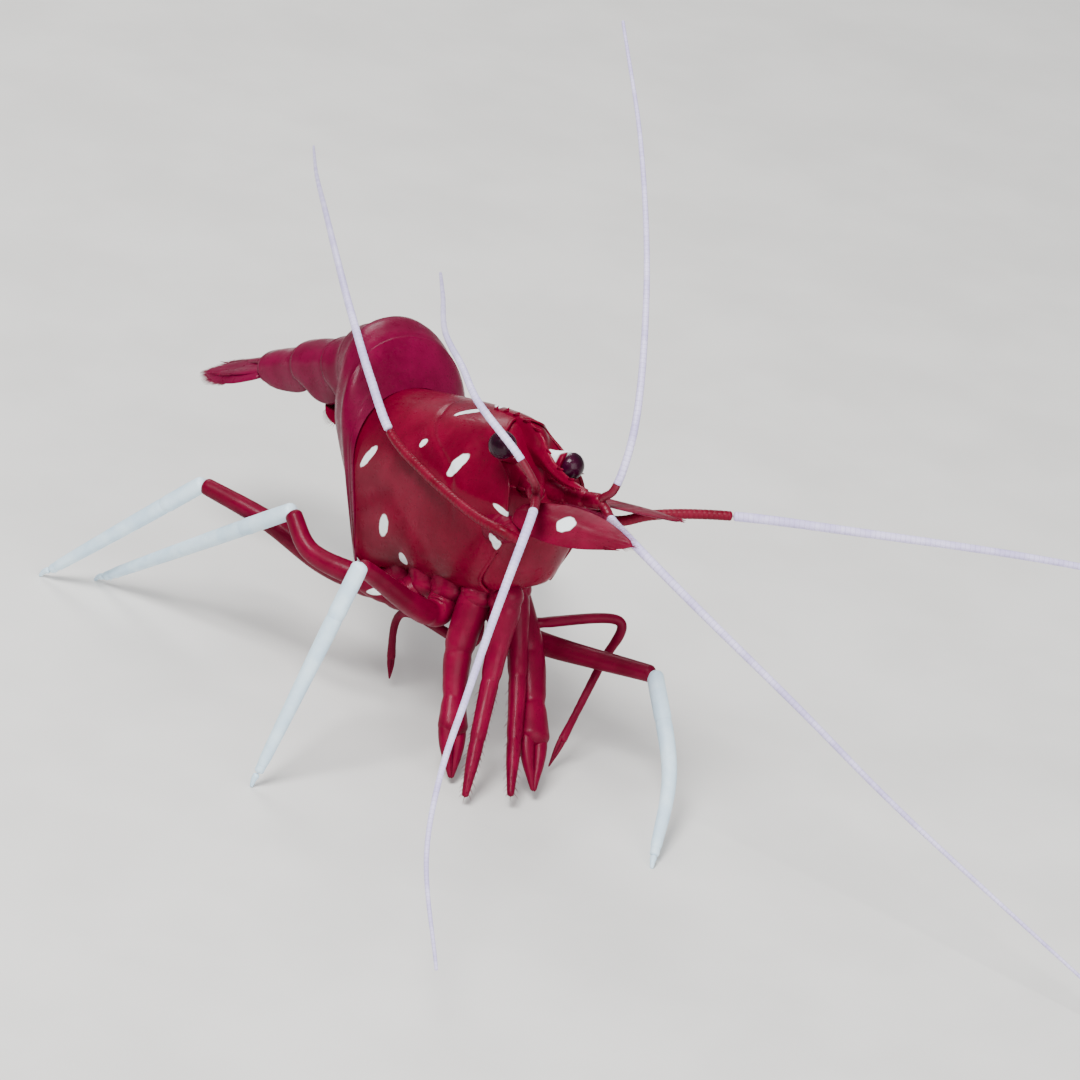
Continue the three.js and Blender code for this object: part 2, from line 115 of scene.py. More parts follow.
def loft(around, along, place, mark=None, closed=True):
    """A skin shaped from a grid. place(u, angle) is its point at u along it, from 0 to 1, and at
    that angle from the top, from -pi to pi. mark(u, angle) is a value kept for its material."""
    skin = add_mesh("grid", x_subdivisions=around, y_subdivisions=along, size=1)
    mesh = skin.data
    grid = [(v.co.y + 0.5, v.co.x * tau) for v in mesh.vertices]
    values = mesh.attributes["mark"].data
    for i, (u, angle) in enumerate(grid):
        mesh.vertices[i].co = place(u, angle)
        values[i].value = mark(u, angle) if mark else 0.0
    bpy.ops.object.mode_set(mode="EDIT")
    bpy.ops.mesh.select_all(action="SELECT")
    bpy.ops.mesh.remove_doubles(threshold=SEAM)
    if closed:
        bpy.ops.mesh.fill_holes(sides=0)
    bpy.ops.mesh.normals_make_consistent(inside=False)
    bpy.ops.object.mode_set(mode="OBJECT")
    return skin


def weld(main, others):
    """Joins the other pieces to the main one."""
    bpy.ops.object.select_all(action="DESELECT")
    for piece in [main, *others]:
        piece.select_set(True)
    bpy.context.view_layer.objects.active = main
    bpy.ops.object.join()
    return main


def move(matrix, *pieces):
    for piece in pieces:
        piece.data.transform(matrix)


def placing(at, *turns):
    """Turns a piece drawn at zero about its axes, the last turn first, then moves it."""
    matrix = Matrix.Translation(at)
    for axis, angle in turns:
        matrix = matrix @ Matrix.Rotation(angle, 4, axis)
    return matrix


def facing(at, way):
    """Sets +z of a piece along the way, at that place."""
    return Matrix.Translation(at) @ Vector(way).to_track_quat("Z", "Y").to_matrix().to_4x4()


def settle(piece, name, material, slot, *nodes):
    """Sets a piece drawn in the animal's millimetres in its stance, and enters it in the frame."""
    piece.data.transform(stance)
    piece.name = name
    piece.data.name = name
    piece.data.materials.clear()
    piece.data.materials.append(material)
    piece.data.polygons.foreach_set("use_smooth", [True] * len(piece.data.polygons))
    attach(piece, "root")
    if nodes:
        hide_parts(*nodes)
    return piece


class Wire:
    """A socket of a material's nodes. Sums and products on it add Math nodes."""

    def __init__(self, tree, socket):
        self.tree = tree
        self.socket = socket

    def node(self, kind, settings=None, output=0, **inputs):
        """Adds a node: its settings first, then a value or a wire for each socket."""
        node = self.tree.nodes.new("ShaderNode" + kind)
        for key, value in (settings or {}).items():
            setattr(node, key, value)
        for key, value in inputs.items():
            socket = node.inputs[int(key[1:]) if key[1:].isdigit() else key.replace("_", " ")]
            if isinstance(value, Wire):
                self.tree.links.new(value.socket, socket)
            else:
                socket.default_value = value
        return Wire(self.tree, node.outputs[output])

    def math(self, operation, other):
        return self.node("Math", {"operation": operation}, n0=self, n1=other)

    def __add__(self, other):
        return self.math("ADD", other)

    def __sub__(self, other):
        return self.math("SUBTRACT", other)

    def __mul__(self, other):
        return self.math("MULTIPLY", other)

    def ramp(self, low, high, start=0.0, end=1.0):
        """Eases from start to end as this value goes from low to high."""
        settings = {"interpolation_type": "SMOOTHSTEP"}
        sockets = {"Value": self, "From_Min": low, "From_Max": high, "To_Min": start, "To_Max": end}
        return self.node("MapRange", settings, **sockets)

    def blend(self, under, over):
        """The colour under, where this value is 0, to the colour over, where it is 1."""
        return self.node("Mix", {"data_type": "RGBA"}, 2, n0=self, n6=under, n7=over)

    def noise(self, scale, detail=3.0):
        return self.node("TexNoise", Vector=self, Scale=scale, Detail=detail, Roughness=0.55)

    def feed(self, shader, socket):
        """Runs this wire to a socket of the shader."""
        self.tree.links.new(self.socket, shader.inputs[socket])

    def relief(self, shader, strength, distance):
        """Takes this value as the height of fine relief in the surface."""
        bumps = self.node("Bump", None, Strength=strength, Distance=distance, Height=self)
        bumps.feed(shader, "Normal")


SCREEN_GAMMA = 2.2


def hue(red, green, blue):
    """A colour given as it shows on a screen, 0 to 255."""
    return tuple((c / 255) ** SCREEN_GAMMA for c in (red, green, blue)) + (1.0,)


WHITE = hue(236, 246, 246)
# White spots of the right side, each by its two ends and its width; the left side has the same.
SPOTS = [
    ((-5.75, -4.1, 0.85), (-4.75, -3.9, 1.85), 0.55),
    ((-0.65, -3.5, 2.75), (-0.45, -3.4, 2.92), 0.42),
    ((2.3, -3.7, 1.6), (2.95, -3.1, 2.45), 0.66),
    ((0.4, -1.6, 4.4), (1.5, -0.5, 4.8), 0.5),
    ((-3.6, -4.25, -2.25), (-3.85, -4.15, -2.85), 0.85),
    ((-2.45, -3.8, -4.4), (-2.55, -3.7, -4.6), 0.72),
    ((5.7, -3.4, 0.05), (6.8, -3.05, -0.5), 0.42),
    ((5.75, -3.35, -1.75), (5.65, -3.35, -2.2), 0.72),
]


def new_material(name, **uniform):
    """A Principled material with those even values, the places on it, and its shader."""
    material = bpy.data.materials.new(name)
    material.use_nodes = True
    tree = material.node_tree
    shader = tree.nodes["Principled BSDF"]
    for socket, value in uniform.items():
        shader.inputs[socket.replace("_", " ")].default_value = value
    coordinates = tree.nodes.new("ShaderNodeTexCoord")
    return material, Wire(tree, coordinates.outputs["Object"]), shader


SPOT_WOBBLE = 0.00022
SPOT_DEPTH = 0.0009


def spot_mask(place, spots):
    """1 inside the spots, each a slender egg around its two ends, and 0 outside them."""
    wobble = place.node("TexNoise", None, 1, Vector=place, Scale=1400.0, Detail=2.0)
    shift = place.node("VectorMath", {"operation": "SCALE"}, Vector=wobble, Scale=SPOT_WOBBLE)
    place = place.node("VectorMath", {"operation": "ADD"}, n0=place, n1=shift)
    nearest = None
    for start, end, width in spots:
        a, b = stance @ Vector(start), stance @ Vector(end)
        # the shift adds half of its size on each axis
        middle = (a + b) / 2 + Vector((SPOT_WOBBLE / 2,) * 3)
        lengthwise = (b - a).normalized()
        inward = turn @ -Vector((0, start[1] + end[1], start[2] + end[2]))
        inward = (inward - lengthwise * inward.dot(lengthwise)).normalized()
        axes = Matrix((lengthwise, inward.cross(lengthwise), inward)).transposed()
        size = ((b - a).length / 2 + width * MM / 2, width * MM / 2, SPOT_DEPTH)
        inside = place.node("Mapping", {"vector_type": "TEXTURE"}, Vector=place, Location=middle,
                            Rotation=axes.to_euler(), Scale=size)
        distance = place.node("VectorMath", {"operation": "LENGTH"}, 1, Vector=inside)
        nearest = distance if nearest is None else nearest.math("MINIMUM", distance)
    return nearest.ramp(0.88, 1.06, 1.0, 0.0)


PORE_SHADE = 0.62
PORE_COVER = 0.55


def shell_finish(name, deep, bright, spots=(), gloss=0.32, wet=0.1, paired=True):
    """Red cuticle: two reds in clouds, fine dark pores, white spots, and a wet sheen."""
    material, place, shader = new_material(name, Coat_Roughness=0.1, Specular_IOR_Level=0.08)
    clouds = place.noise(420.0, 4.0).ramp(0.35, 0.68)
    mottle = place.noise(2300.0)
    pores = place.node("TexVoronoi", {"feature": "F1"}, Vector=place, Scale=5200.0)
    dots = pores.ramp(0.12, 0.3, 1.0, 0.0) * mottle.ramp(0.45, 0.6)
    reds = (clouds * 0.75 + mottle * 0.25).blend(hue(*deep), hue(*bright))
    dark = hue(*(c * PORE_SHADE for c in deep))
    colour = (dots * PORE_COVER).blend(reds, dark)
    rough = mottle.ramp(0.3, 0.7, gloss - 0.06, gloss + 0.1)
    if spots:
        others = [tuple((x, -y, z) for x, y, z in (a, b)) + (width,) for a, b, width in spots]
        mask = spot_mask(place, [*spots, *others] if paired else spots)
        colour = mask.blend(colour, WHITE)
        rough = rough + mask * 0.08
    colour.feed(shader, "Base Color")
    rough.feed(shader, "Roughness")
    clouds.ramp(0.0, 1.0, wet * 0.5, wet).feed(shader, "Coat Weight")
    height = place.noise(900.0) * 0.6 + pores.ramp(0.0, 0.35) * 0.25 + mottle * 0.2
    height.relief(shader, 0.35, 0.00006)
    return material


SHELL_REDS = (93, 0, 33), (114, 0, 42)
shell_red = shell_finish("shell_red", *SHELL_REDS, SPOTS)
flesh_red = shell_finish("flesh_red", *SHELL_REDS)

half_width = profile([(0, 4.15), (0.3, 4.3), (0.6, 4.15), (0.82, 3.6), (1, 2.9)])
back_height = profile([(0, 4.7), (0.3, 4.8), (0.7, 4.7), (0.88, 4.3), (1, 3.5)])
belly_depth = profile([(0, 5.8), (0.25, 6.0), (0.7, 6.1), (0.88, 5.7), (1, 4.3)])
SHELL_REAR = -6.5
SHELL_FRONT = 6.5
UNDERSIDE = -5.6
BROW_DEPTH = 2.5
BROW_SPREAD = 30
ORBIT_ANGLE = 42
ORBIT_SPREAD = 17
ORBIT_DEPTH = 2.0
THROAT_DEPTH = 2.6
BOXY_CHEEK = 0.33
BOXY_REAR = 0.32
TEMPLE_DEPTH = 0.16
FACE = 6.1
FACE_FROM = 0.74
TRUNK_OVERRUN = 1.5
TRUNK_GAP = 0.16
TRUNK_RIPPLE = 0.1
RIPPLE_PITCH = 3.6


def power(value, exponent):
    return (1 if value >= 0 else -1) * abs(value) ** exponent


def off_top(angle):
    """Degrees from the top, on either side."""
    return abs(angle) * 180 / pi


def rounded(u, share):
    """1 along most of a piece, and down to 0 over that last share of it."""
    return min(1.0, (max(0.0, 1 - u) / share) ** 0.5)


def shell_share(x):
    """How far along the head shell a place is, from 0 at its rear to 1 at its front."""
    return max(0.0, min(1.0, (x - SHELL_REAR) / (SHELL_FRONT - SHELL_REAR)))


def shell_section(u, angle, inset=0.0):
    """The y and z of the head shell: a round back on boxier cheeks, drawn in behind the eyes."""
    c, s = cos(angle), sin(angle)
    cheek = BOXY_CHEEK + BOXY_REAR * (1 - ease(0.0, 0.28, u))
    blunt = 0.95 - cheek * ease(80, 112, off_top(angle))
    reach = (back_height(u) if c > 0 else belly_depth(u)) - inset
    temple = 1 - TEMPLE_DEPTH * ease(0.66, 0.86, u) * bump(off_top(angle) - 48, 24)
    return power(s, blunt) * (half_width(u) - inset) * temple, power(c, blunt) * reach


def front_rim(degrees):
    """How far forward the head shell reaches, at that angle from the top."""
    brow = BROW_DEPTH * bump(degrees, BROW_SPREAD)
    orbit = ORBIT_DEPTH * bump(degrees - ORBIT_ANGLE, ORBIT_SPREAD)
    return SHELL_FRONT - brow - orbit - THROAT_DEPTH * ease(92, 138, degrees)


def trunk_point(u, angle):
    """Follows the inside of the shell, then rounds over to close the face."""
    rim = front_rim(off_top(angle)) - 0.12
    back = SHELL_REAR - TRUNK_OVERRUN
    turned = max(0.0, (u - FACE_FROM) / (1 - FACE_FROM)) * pi / 2
    x = back + (rim - back) * min(1.0, u / FACE_FROM) + (FACE - rim) * sin(turned)
    y, z = shell_section(shell_share(min(x, rim)), angle, TRUNK_GAP)
    end = cos(turned) ** (1 + 0.8 * max(0.0, cos(angle))) if 0 < u < 1 else 0.0
    end *= min(1.0, (u / 0.04) ** 0.5)
    floor = UNDERSIDE + 0.12 + TRUNK_RIPPLE * cos(x * RIPPLE_PITCH) * bump(y, 2.2)
    return x, y * end, max(floor, z * end)


trunk = loft(56, 90, trunk_point)
settle(trunk, "trunk", flesh_red, "head_shell")


# ---- Head shell ----
# The carapace: one stiff, glossy shell over head and chest, open below, with a notch for each eye
# and a small thorn under it. Its rear rim lies over the first ring of the abdomen.
SHELL_WRAP = 152 / 180
SHELL_THICKNESS = 0.14
REAR_OVERLAP = 0.3
GROOVE_DEPTH = 0.09
CHEEK_CREASE = 0.07
RIM_SWELL = 0.07
# Each thorn's angle from the top, length and radius.
THORNS = ((70, 0.55, 0.16), (112, 0.4, 0.13))


def rear_rim(degrees):
    return SHELL_REAR - REAR_OVERLAP + 0.25 * ease(112, 152, degrees)


def shell_relief(u, degrees):
    """The groove behind the head, the crease along each cheek, and the swollen rims."""
    groove = bump(u - (0.5 + 0.2 * ease(10, 80, degrees)), 0.014) * ease(4, 20, degrees)
    groove *= GROOVE_DEPTH * (1 - ease(84, 104, degrees))
    crease = bump(degrees - 96, 4) * ease(0.5, 0.66, u) * (1 - ease(0.9, 0.98, u))
    rims = RIM_SWELL * (bump(1 - u, 0.012) + bump(u, 0.012))
    return rims - groove - CHEEK_CREASE * crease


def shell_point(u, angle):
    angle *= SHELL_WRAP
    degrees = off_top(angle)
    x = rear_rim(degrees) + (front_rim(degrees) - rear_rim(degrees)) * u
    y, z = shell_section(shell_share(x), angle, -shell_relief(u, degrees))
    return x, y, z


def thicken(skin, thickness, even):
    """Gives an open skin a wall inwards."""
    wall = skin.modifiers.new("wall", "SOLIDIFY")
    wall.thickness = thickness
    wall.offset = -1
    wall.use_even_offset = even
    bpy.context.view_layer.objects.active = skin
    bpy.ops.object.modifier_apply(modifier="wall")


SPINE_POINT = 0.06
SPINE_BEND = 0.18


def spine(at, way, length, radius):
    """A thorn: a slim, slightly bent cone from a point."""
    thorn = add_mesh(
        "cone", vertices=10, radius1=radius, radius2=radius * SPINE_POINT, depth=length)
    for v in thorn.data.vertices:
        rise = v.co.z / length + 0.5
        v.co.z += length / 2
        v.co.x += SPINE_BEND * length * rise * rise
    move(facing(at, way), thorn)
    return thorn


head_shell = loft(110, 90, shell_point, closed=False)
thicken(head_shell, SHELL_THICKNESS, even=True)
thorns = []
for side in (-1, 1):
    for degrees, length, radius in THORNS:
        rim = front_rim(degrees)
        y, z = shell_section(shell_share(rim), radians(degrees), 0.07)
        thorns.append(spine((rim - 0.15, side * y, z), (1, side * 0.12, 0), length, radius))
weld(head_shell, thorns)
settle(head_shell, "head_shell", shell_red, "head_shell", "carapace")


# ---- Rostrum ----
# A thin blade that grows from the ridge of the head shell and runs out between the eyes, with
# forward-pointing teeth along its crest and a few below. It is the same stiff cuticle.
ROSTRUM_ROOT = 0.6
ROSTRUM_TIP = 10.3
UPPER_TEETH = 8
LOWER_TEETH = 3
TOOTH_LEAN = 0.62
TOOTH_POINT = 0.02
rostrum_crest = profile([(0.6, 4.6), (3.4, 4.8), (5.5, 4.3), (6.3, 3.75), (6.8, 3.0), (7.4, 2.4),
                         (8.2, 1.95), (8.95, 1.65), (10.3, 1.3)])
rostrum_keel = profile([(0.6, 4.2), (4.4, 2.5), (6.4, 1.75), (8.4, 1.2), (10.3, 1.25)])


def rostrum_point(u, angle):
    x = ROSTRUM_ROOT + (ROSTRUM_TIP - ROSTRUM_ROOT) * u
    high, low = rostrum_crest(x), rostrum_keel(x)
    end = min(rounded(u, 0.03), rounded(1 - u, 0.08))
    side = 1 if sin(angle) > 0 else -1
    root = 0.6 * (1 - ease(0.28, 0.5, u)) * ease(-1.0, 0.6, -cos(angle))
    thick = (0.3 - 0.16 * u + root) * abs(sin(angle)) ** 1.15
    ridge = 0.1 * bump(cos(angle) + 0.15, 0.3)
    return x, side * (thick + ridge) * end, (high + low) / 2 + (high - low) / 2 * cos(angle) * end


def saw_tooth(at, rise, length, height, thick):
    """A low tooth on a slope of that rise, a cone that leans forward and is pressed thin."""
    tooth = add_mesh("cone", vertices=12, radius1=length / 2, radius2=TOOTH_POINT, depth=height)
    for v in tooth.data.vertices:
        v.co.x += length * TOOTH_LEAN * (v.co.z / height + 0.5)
        v.co.y *= thick / length
    move(placing(at, ("Y", -atan(rise))), tooth)
    return tooth


rostrum = loft(32, 90, rostrum_point)
teeth = []
for i in range(UPPER_TEETH):
    x = 1.7 + 7.0 * i / (UPPER_TEETH - 1)
    rise = (rostrum_crest(x + 0.2) - rostrum_crest(x - 0.2)) / 0.4
    at = (x, 0, rostrum_crest(x) + 0.05)
    teeth.append(saw_tooth(at, rise, 0.8 - 0.03 * i, 0.42 - 0.02 * i, 0.24))
for i in range(LOWER_TEETH):
    x = 6.9 + 0.95 * i
    below = saw_tooth((0, 0, 0), 0, 0.55, 0.3, 0.18)
    move(placing((x, 0, rostrum_keel(x) - 0.02), ("X", pi)), below)
    teeth.append(below)
weld(rostrum, teeth)
settle(rostrum, "rostrum", shell_red, "head_shell")


# ---- Abdomen ----
# Six overlapping ring plates on one muscular core, humped at the third. Each plate's rear edge
# lies over the next one, its side flaps hang free, and the second plate's flaps lie outermost.
RING_MEASURES = ("x", "y", "z", "lean", "width", "rise", "drop", "tuck")
RINGS = [dict(zip(RING_MEASURES, ring)) for ring in (
    (-6.55, 0.0, 0.5, 0, 4.2, 4.2, 5.4, 0.03),
    (-7.5, 0.45, 2.5, -2, 4.45, 4.65, 6.9, 0.1),
    (-8.7, 1.05, 3.45, -9, 4.25, 4.8, 6.5, 0.2),
    (-10.6, 1.35, 4.4, -19, 3.15, 3.5, 4.2, 0.25),
    (-12.9, 1.1, 5.0, -20, 2.35, 1.8, 2.3, 0.2),
    (-16.0, 0.7, 4.75, -13, 1.9, 1.4, 1.7, 0.2),
    (-20.0, 0.3, 3.95, -11, 1.5, 0.95, 1.05, 0.2),
)]
girth = {key: profile([(i, ring[key]) for i, ring in enumerate(RINGS)]) for key in RING_MEASURES}
LAST = len(RINGS) - 1
CORE_START = -0.25
CORE_REACH = 6.2
CORE_INSET = 0.35
FLAP_RIM = 150
FLOOR_SHARE = 0.72
FLAP_LOBE = [0.8, 0.6, 0.5, 0.5, 0.4, 0.1]
FLAP_CORNER = [0.1, 0.14, 0.26, 0.3, 0.3, 0.12]
PLATE_THICKNESS = 0.12
PLATE_OVERLAP = 0.16
PLATE_FLARE = 0.17
SECOND_LIFT = 0.1
SECOND_SPREAD = 0.3
SECOND_SWEEP = 0.9

abdomen_red = shell_finish("abdomen_red", (88, 3, 40), (110, 7, 53))


def in_ring(s, across, high):
    """The point that far to the side and up from the middle of the abdomen, s rings along it."""
    lean = radians(girth["lean"](s))
    return (
        girth["x"](s) + sin(lean) * high,
        girth["y"](s) + across,
        girth["z"](s) + cos(lean) * high,
    )


def abdomen_section(s, angle, lift, lobe):
    """A point of the abdomen, s rings from its start, raised off the skin by lift."""
    degrees = off_top(angle)
    side = 1 if angle >= 0 else -1
    width = girth["width"](s) + lift
    if degrees <= 90:
        across = width * abs(sin(angle)) ** 0.92
        high = (girth["rise"](s) + lift) * max(0.0, cos(angle)) ** 0.92
    else:
        t = (degrees - 90) / (FLAP_RIM - 90)
        across = width * (1 - girth["tuck"](s) * t * t)
        high = -(girth["drop"](s) + lobe) * t
    return in_ring(s, side * across, high)


def core_point(u, angle):
    s = max(0.0, min(LAST, CORE_START + CORE_REACH * u))
    c = cos(angle)
    segment = 0.05 * cos(tau * s)
    across = (girth["width"](s) - CORE_INSET) * power(sin(angle), 0.9)
    floor_share = FLOOR_SHARE + 0.22 * (1 - ease(0.7, 1.6, s))
    reach = girth["rise"](s) - 0.3 if c > 0 else girth["drop"](s) * floor_share + segment
    high = power(c, 0.9 if c > 0 else 0.75) * reach
    end = rounded(u, 0.03)
    x, y, z = in_ring(s, across * end * (0.94 if c < 0 else 1), high * end)
    return x + 1.2 * max(0.0, -CORE_START - CORE_REACH * u), y, z


core = loft(40, 120, core_point)
settle(core, "abdomen_core", flesh_red, "abdomen_shell")

for i in range(LAST):
    outermost = SECOND_LIFT if i == 1 else 0.0
    first = i - (0.04 if i == 0 else 0.1)
    last = i + 1 + (PLATE_OVERLAP if i < LAST - 1 else 0.0)

    def plate_point(u, angle):
        angle *= FLAP_RIM / 180
        flap = ease(88, FLAP_RIM, off_top(angle))
        back = ease(60, 112, off_top(angle))
        corner = 0.14 * flap**3
        spread = SECOND_SPREAD * flap if i == 1 else 0.0
        start = first + corner * 0.8 - spread
        end = last - corner + spread * 0.8
        edge = abs(2 * u - 1) ** (4.5 if i == 1 else 2.4)
        lift = outermost - 0.05 + PLATE_FLARE * ease(0.5, 0.95, u) + 0.04 * bump(1 - u, 0.03)
        s = max(0.0, min(LAST, start + (end - start) * u))
        lobe = FLAP_LOBE[i] * (1 - edge) - FLAP_CORNER[i] * girth["drop"](s) * edge
        crease = -0.035 * bump(u - 0.3, 0.02) * (1 - flap)
        x, y, z = abdomen_section(s, angle, lift + crease, lobe)
        return x - (SECOND_SWEEP * back * u if i == 1 else 0.0), y, z

    plate = loft(84, 26, plate_point, closed=False)
    thicken(plate, PLATE_THICKNESS, even=False)
    settle(plate, f"abdomen_plate_{i + 1}", abdomen_red, "abdomen_shell", f"abdomen_{i + 1}")


# ---- Tail fan ----
# A narrow telson with two thin paddles on each side of it, all hinged on the last ring. Each
# paddle has a raised rib, and its rear edge carries a close fringe of fine bristles.
random.seed(7)
TAIL_BANK = -9
TAIL_LIFT = 3
ring = RINGS[-1]
tail = placing([ring[key] for key in "xyz"], ("Y", radians(ring["lean"] + TAIL_LIFT)),
               ("X", radians(TAIL_BANK)))
bristle_pink = shell_finish("bristle_pink", (96, 4, 42), (122, 16, 58), gloss=0.5, wet=0.03)
BRISTLE = 0.022
BRISTLE_SAG = 0.08


def bristles(starts):
    """One mesh of fine bristles, each from a point, along a way, with a length and a thickness.
    Each is a three-sided prism up to its middle and a point from there."""
    verts, faces = [], []
    for at, way, length, thick in starts:
        way = Vector(way).normalized()
        side = way.orthogonal().normalized() * thick
        other = way.cross(side)
        at = Vector(at)
        n = len(verts)
        sag = Vector((0, 0, -BRISTLE_SAG * length))
        verts += [at + side, at - side * 0.5 + other * 0.87, at - side * 0.5 - other * 0.87]
        middle = at + way * length * 0.55
        far = middle - side * 0.3
        verts += [middle + side * 0.6, far + other * 0.5, far - other * 0.5]
        verts.append(at + way * length + sag)
        for a in range(3):
            b = (a + 1) % 3
            faces += [(n + a, n + b, n + 3 + b, n + 3 + a), (n + 3 + a, n + 3 + b, n + 6)]
        faces.append((n + 2, n + 1, n))
    mesh = bpy.data.meshes.new("bristles")
    mesh.from_pydata(verts, [], faces)
    mesh.attributes.new("mark", "FLOAT", "POINT")
    made = bpy.data.objects.new("bristles", mesh)
    bpy.context.scene.collection.objects.link(made)
    return made


ROUND = [(0.15, 0.32), (0.5, 0.46), (0.75, 0.42), (0.92, 0.26), (1, 0.12)]
POINTED = [(0.12, 0.36), (0.35, 0.5), (0.6, 0.46), (0.8, 0.3), (0.93, 0.14), (1, 0.05)]
BRISTLES_PER_MM = 9
LEAF_TIP = 0.05
RIB_WIDTH = 0.13
VEIN_DEPTH = 0.012


def paddle(length, width, root_width, thickness, rib, fringe, fringe_from, outline, one_edge=0):
    """A thin leaf along +x from zero with a raised rib, and the bristles of its edge, of the
    length fringe from that share of the leaf on."""
    edge = profile([(0, root_width / 2), *[(share, half * width) for share, half in outline]])

    def point(u, angle):
        end = min(rounded(u, LEAF_TIP), 0.4 + u / LEAF_TIP) if u > 0 else 0.0
        across = edge(u) * sin(angle) * end
        thin = thickness * (1 - 0.55 * u) * cos(angle) * (1 if u > 0 else 0)
        ridge = rib * bump(across, RIB_WIDTH) * (1 - u) * (1 if cos(angle) > 0 else 0)
        veins = VEIN_DEPTH * sin(across * 26) * u * cos(angle)
        return length * u, across, thin * end + ridge * end + veins * end

    leaf = loft(44, 40, point)
    starts = []
    count = int(length * BRISTLES_PER_MM)
    for k in range(count):
        u = fringe_from + (1 - fringe_from) * k / (count - 1)
        for side in (-1, 1):
            if one_edge and side != one_edge and u < 0.93:
                continue
            half = edge(u) * rounded(u, LEAF_TIP) - 0.03
            lean = 0.55 + 1.6 * ease(0.8, 1.0, u)
            out = side * (1.0 - 0.75 * ease(0.85, 1.0, u)) + random.uniform(-0.08, 0.08)
            way = (lean, out, random.uniform(-0.06, 0.06))
            long = fringe * (0.55 + 0.45 * ease(fringe_from, 0.8, u)) * random.uniform(0.85, 1.1)
            starts.append(((length * u - 0.02, side * half, 0), way, long, BRISTLE))
    return leaf, bristles(starts)


TELSON_LENGTH = 5.2


def telson_half(u):
    return 1.0 - 0.62 * u


def telson_point(u, angle):
    half = telson_half(u)
    thick = 0.42 - 0.2 * u
    end = rounded(u, 0.04)
    groove = 0.1 * bump(sin(angle) * half, 0.18) * bump(u - 0.35, 0.4) if cos(angle) > 0 else 0
    return (
        0.1 - TELSON_LENGTH * u,
        sin(angle) * half * end,
        0.35 - 0.2 * u + (cos(angle) * thick - groove) * end,
    )


telson = loft(32, 44, telson_point)
barbs = []
for side in (-1, 1):
    for u, length in ((0.45, 0.45), (0.72, 0.42), (0.98, 0.7)):
        at = (0.1 - TELSON_LENGTH * u, side * telson_half(u) * 0.8, 0.45 - 0.25 * u)
        barbs.append(spine(at, (-1, side * 0.1, 0.16), length, 0.06))
tips = [((0.12 - TELSON_LENGTH, y / 10, 0.15), (-1, y / 30, 0), 0.9, 0.024) for y in range(-3, 4)]
weld(telson, barbs)
telson_fringe = bristles(tips)
move(tail, telson, telson_fringe)
settle(telson, "telson_plate", abdomen_red, "abdomen_shell", "telson")
settle(telson_fringe, "telson_bristles", bristle_pink, "abdomen_shell")

# Each paddle's length and width, how far out and down it starts, and its splay and roll.
PADDLES = {
    "inner": (5.4, 2.2, 0.8, -0.1, 3, 22),
    "outer": (5.6, 2.5, 1.1, -0.34, 6, 36),
}
for letter, side in SIDES.items():
    for kind, (length, width, out, down, splay, roll) in PADDLES.items():
        leaf, fringe = paddle(length, width, 1.2, 0.2, rib=0.07, fringe=0.6, fringe_from=0.45,
                              outline=POINTED)
        place = tail @ placing((0.05, side * out, down), ("Z", pi - side * radians(splay)),
                               ("X", side * radians(roll)))
        if kind == "outer":
            weld(leaf, [spine((4.2, -side * 0.8, 0), (1, -side * 0.15, 0), 0.55, 0.08)])
        move(place, leaf, fringe)
        node = f"uropod_{kind}_{letter}"
        settle(leaf, f"{node}_leaf", abdomen_red, "abdomen_shell", node)
        settle(fringe, f"{node}_bristles", bristle_pink, "abdomen_shell")


# ---- Swimmerets ----
# A pair of soft paddles under each of the first five rings: a short stem with two thin leaves,
# edged with bristles, folded back under the body while the animal stands.
SWIMMERET_LENGTH = [3.8, 4.2, 4.0, 3.4, 2.8]
SWIMMERET_SWEEP = [20, 15, 0, -38, -60]
SWIMMERET_OUT = 0.4
SWIMMERET_CLEAR = 0.6
# Each leaf's share of the length, width, width at its root, thickness, rib, fringe, and how far
# it is spread and shifted outwards.
SWIMMERET_LEAVES = [
    (0.82, 1.35, 0.5, 0.13, 0.05, 0.6, 9, 0.16),
    (0.72, 1.05, 0.45, 0.12, 0.04, 0.55, -8, -0.12),
]
for i, long in enumerate(SWIMMERET_LENGTH):
    middle = {key: (RINGS[i][key] + RINGS[i + 1][key]) / 2 for key in RING_MEASURES}
    for letter, side in SIDES.items():
        leaves = []
        for share, *measures, spread, shift in SWIMMERET_LEAVES:
            pair = paddle(long * share, *measures, fringe_from=0.3, outline=ROUND)
            place = placing((long * 0.1, side * shift, 0), ("Z", side * radians(spread)))
            move(place, *pair)
            leaves.append(pair)

        def stem_point(u, angle):
            end = min(1.0, 2.4 * (1 - u) ** 0.5)
            return (-1.0 + 1.45 * u) * long / 4, 0.42 * sin(angle) * end, 0.3 * cos(angle) * end

        (leaf, fringe), (inner, inner_fringe) = leaves
        weld(leaf, [inner, loft(16, 14, stem_point)])
        weld(fringe, [inner_fringe])
        at = (
            middle["x"],
            middle["y"] + side * middle["width"] * SWIMMERET_OUT,
            middle["z"] - middle["drop"] * FLOOR_SHARE - SWIMMERET_CLEAR,
        )
        move(placing(at, ("Z", side * 0.1), ("Y", radians(90 + SWIMMERET_SWEEP[i]))), leaf, fringe)
        node = f"swimmeret_{i + 1}_{letter}"
        settle(leaf, f"{node}_leaves", flesh_red, "abdomen_shell", node)
        settle(fringe, f"{node}_bristles", bristle_pink, "abdomen_shell")


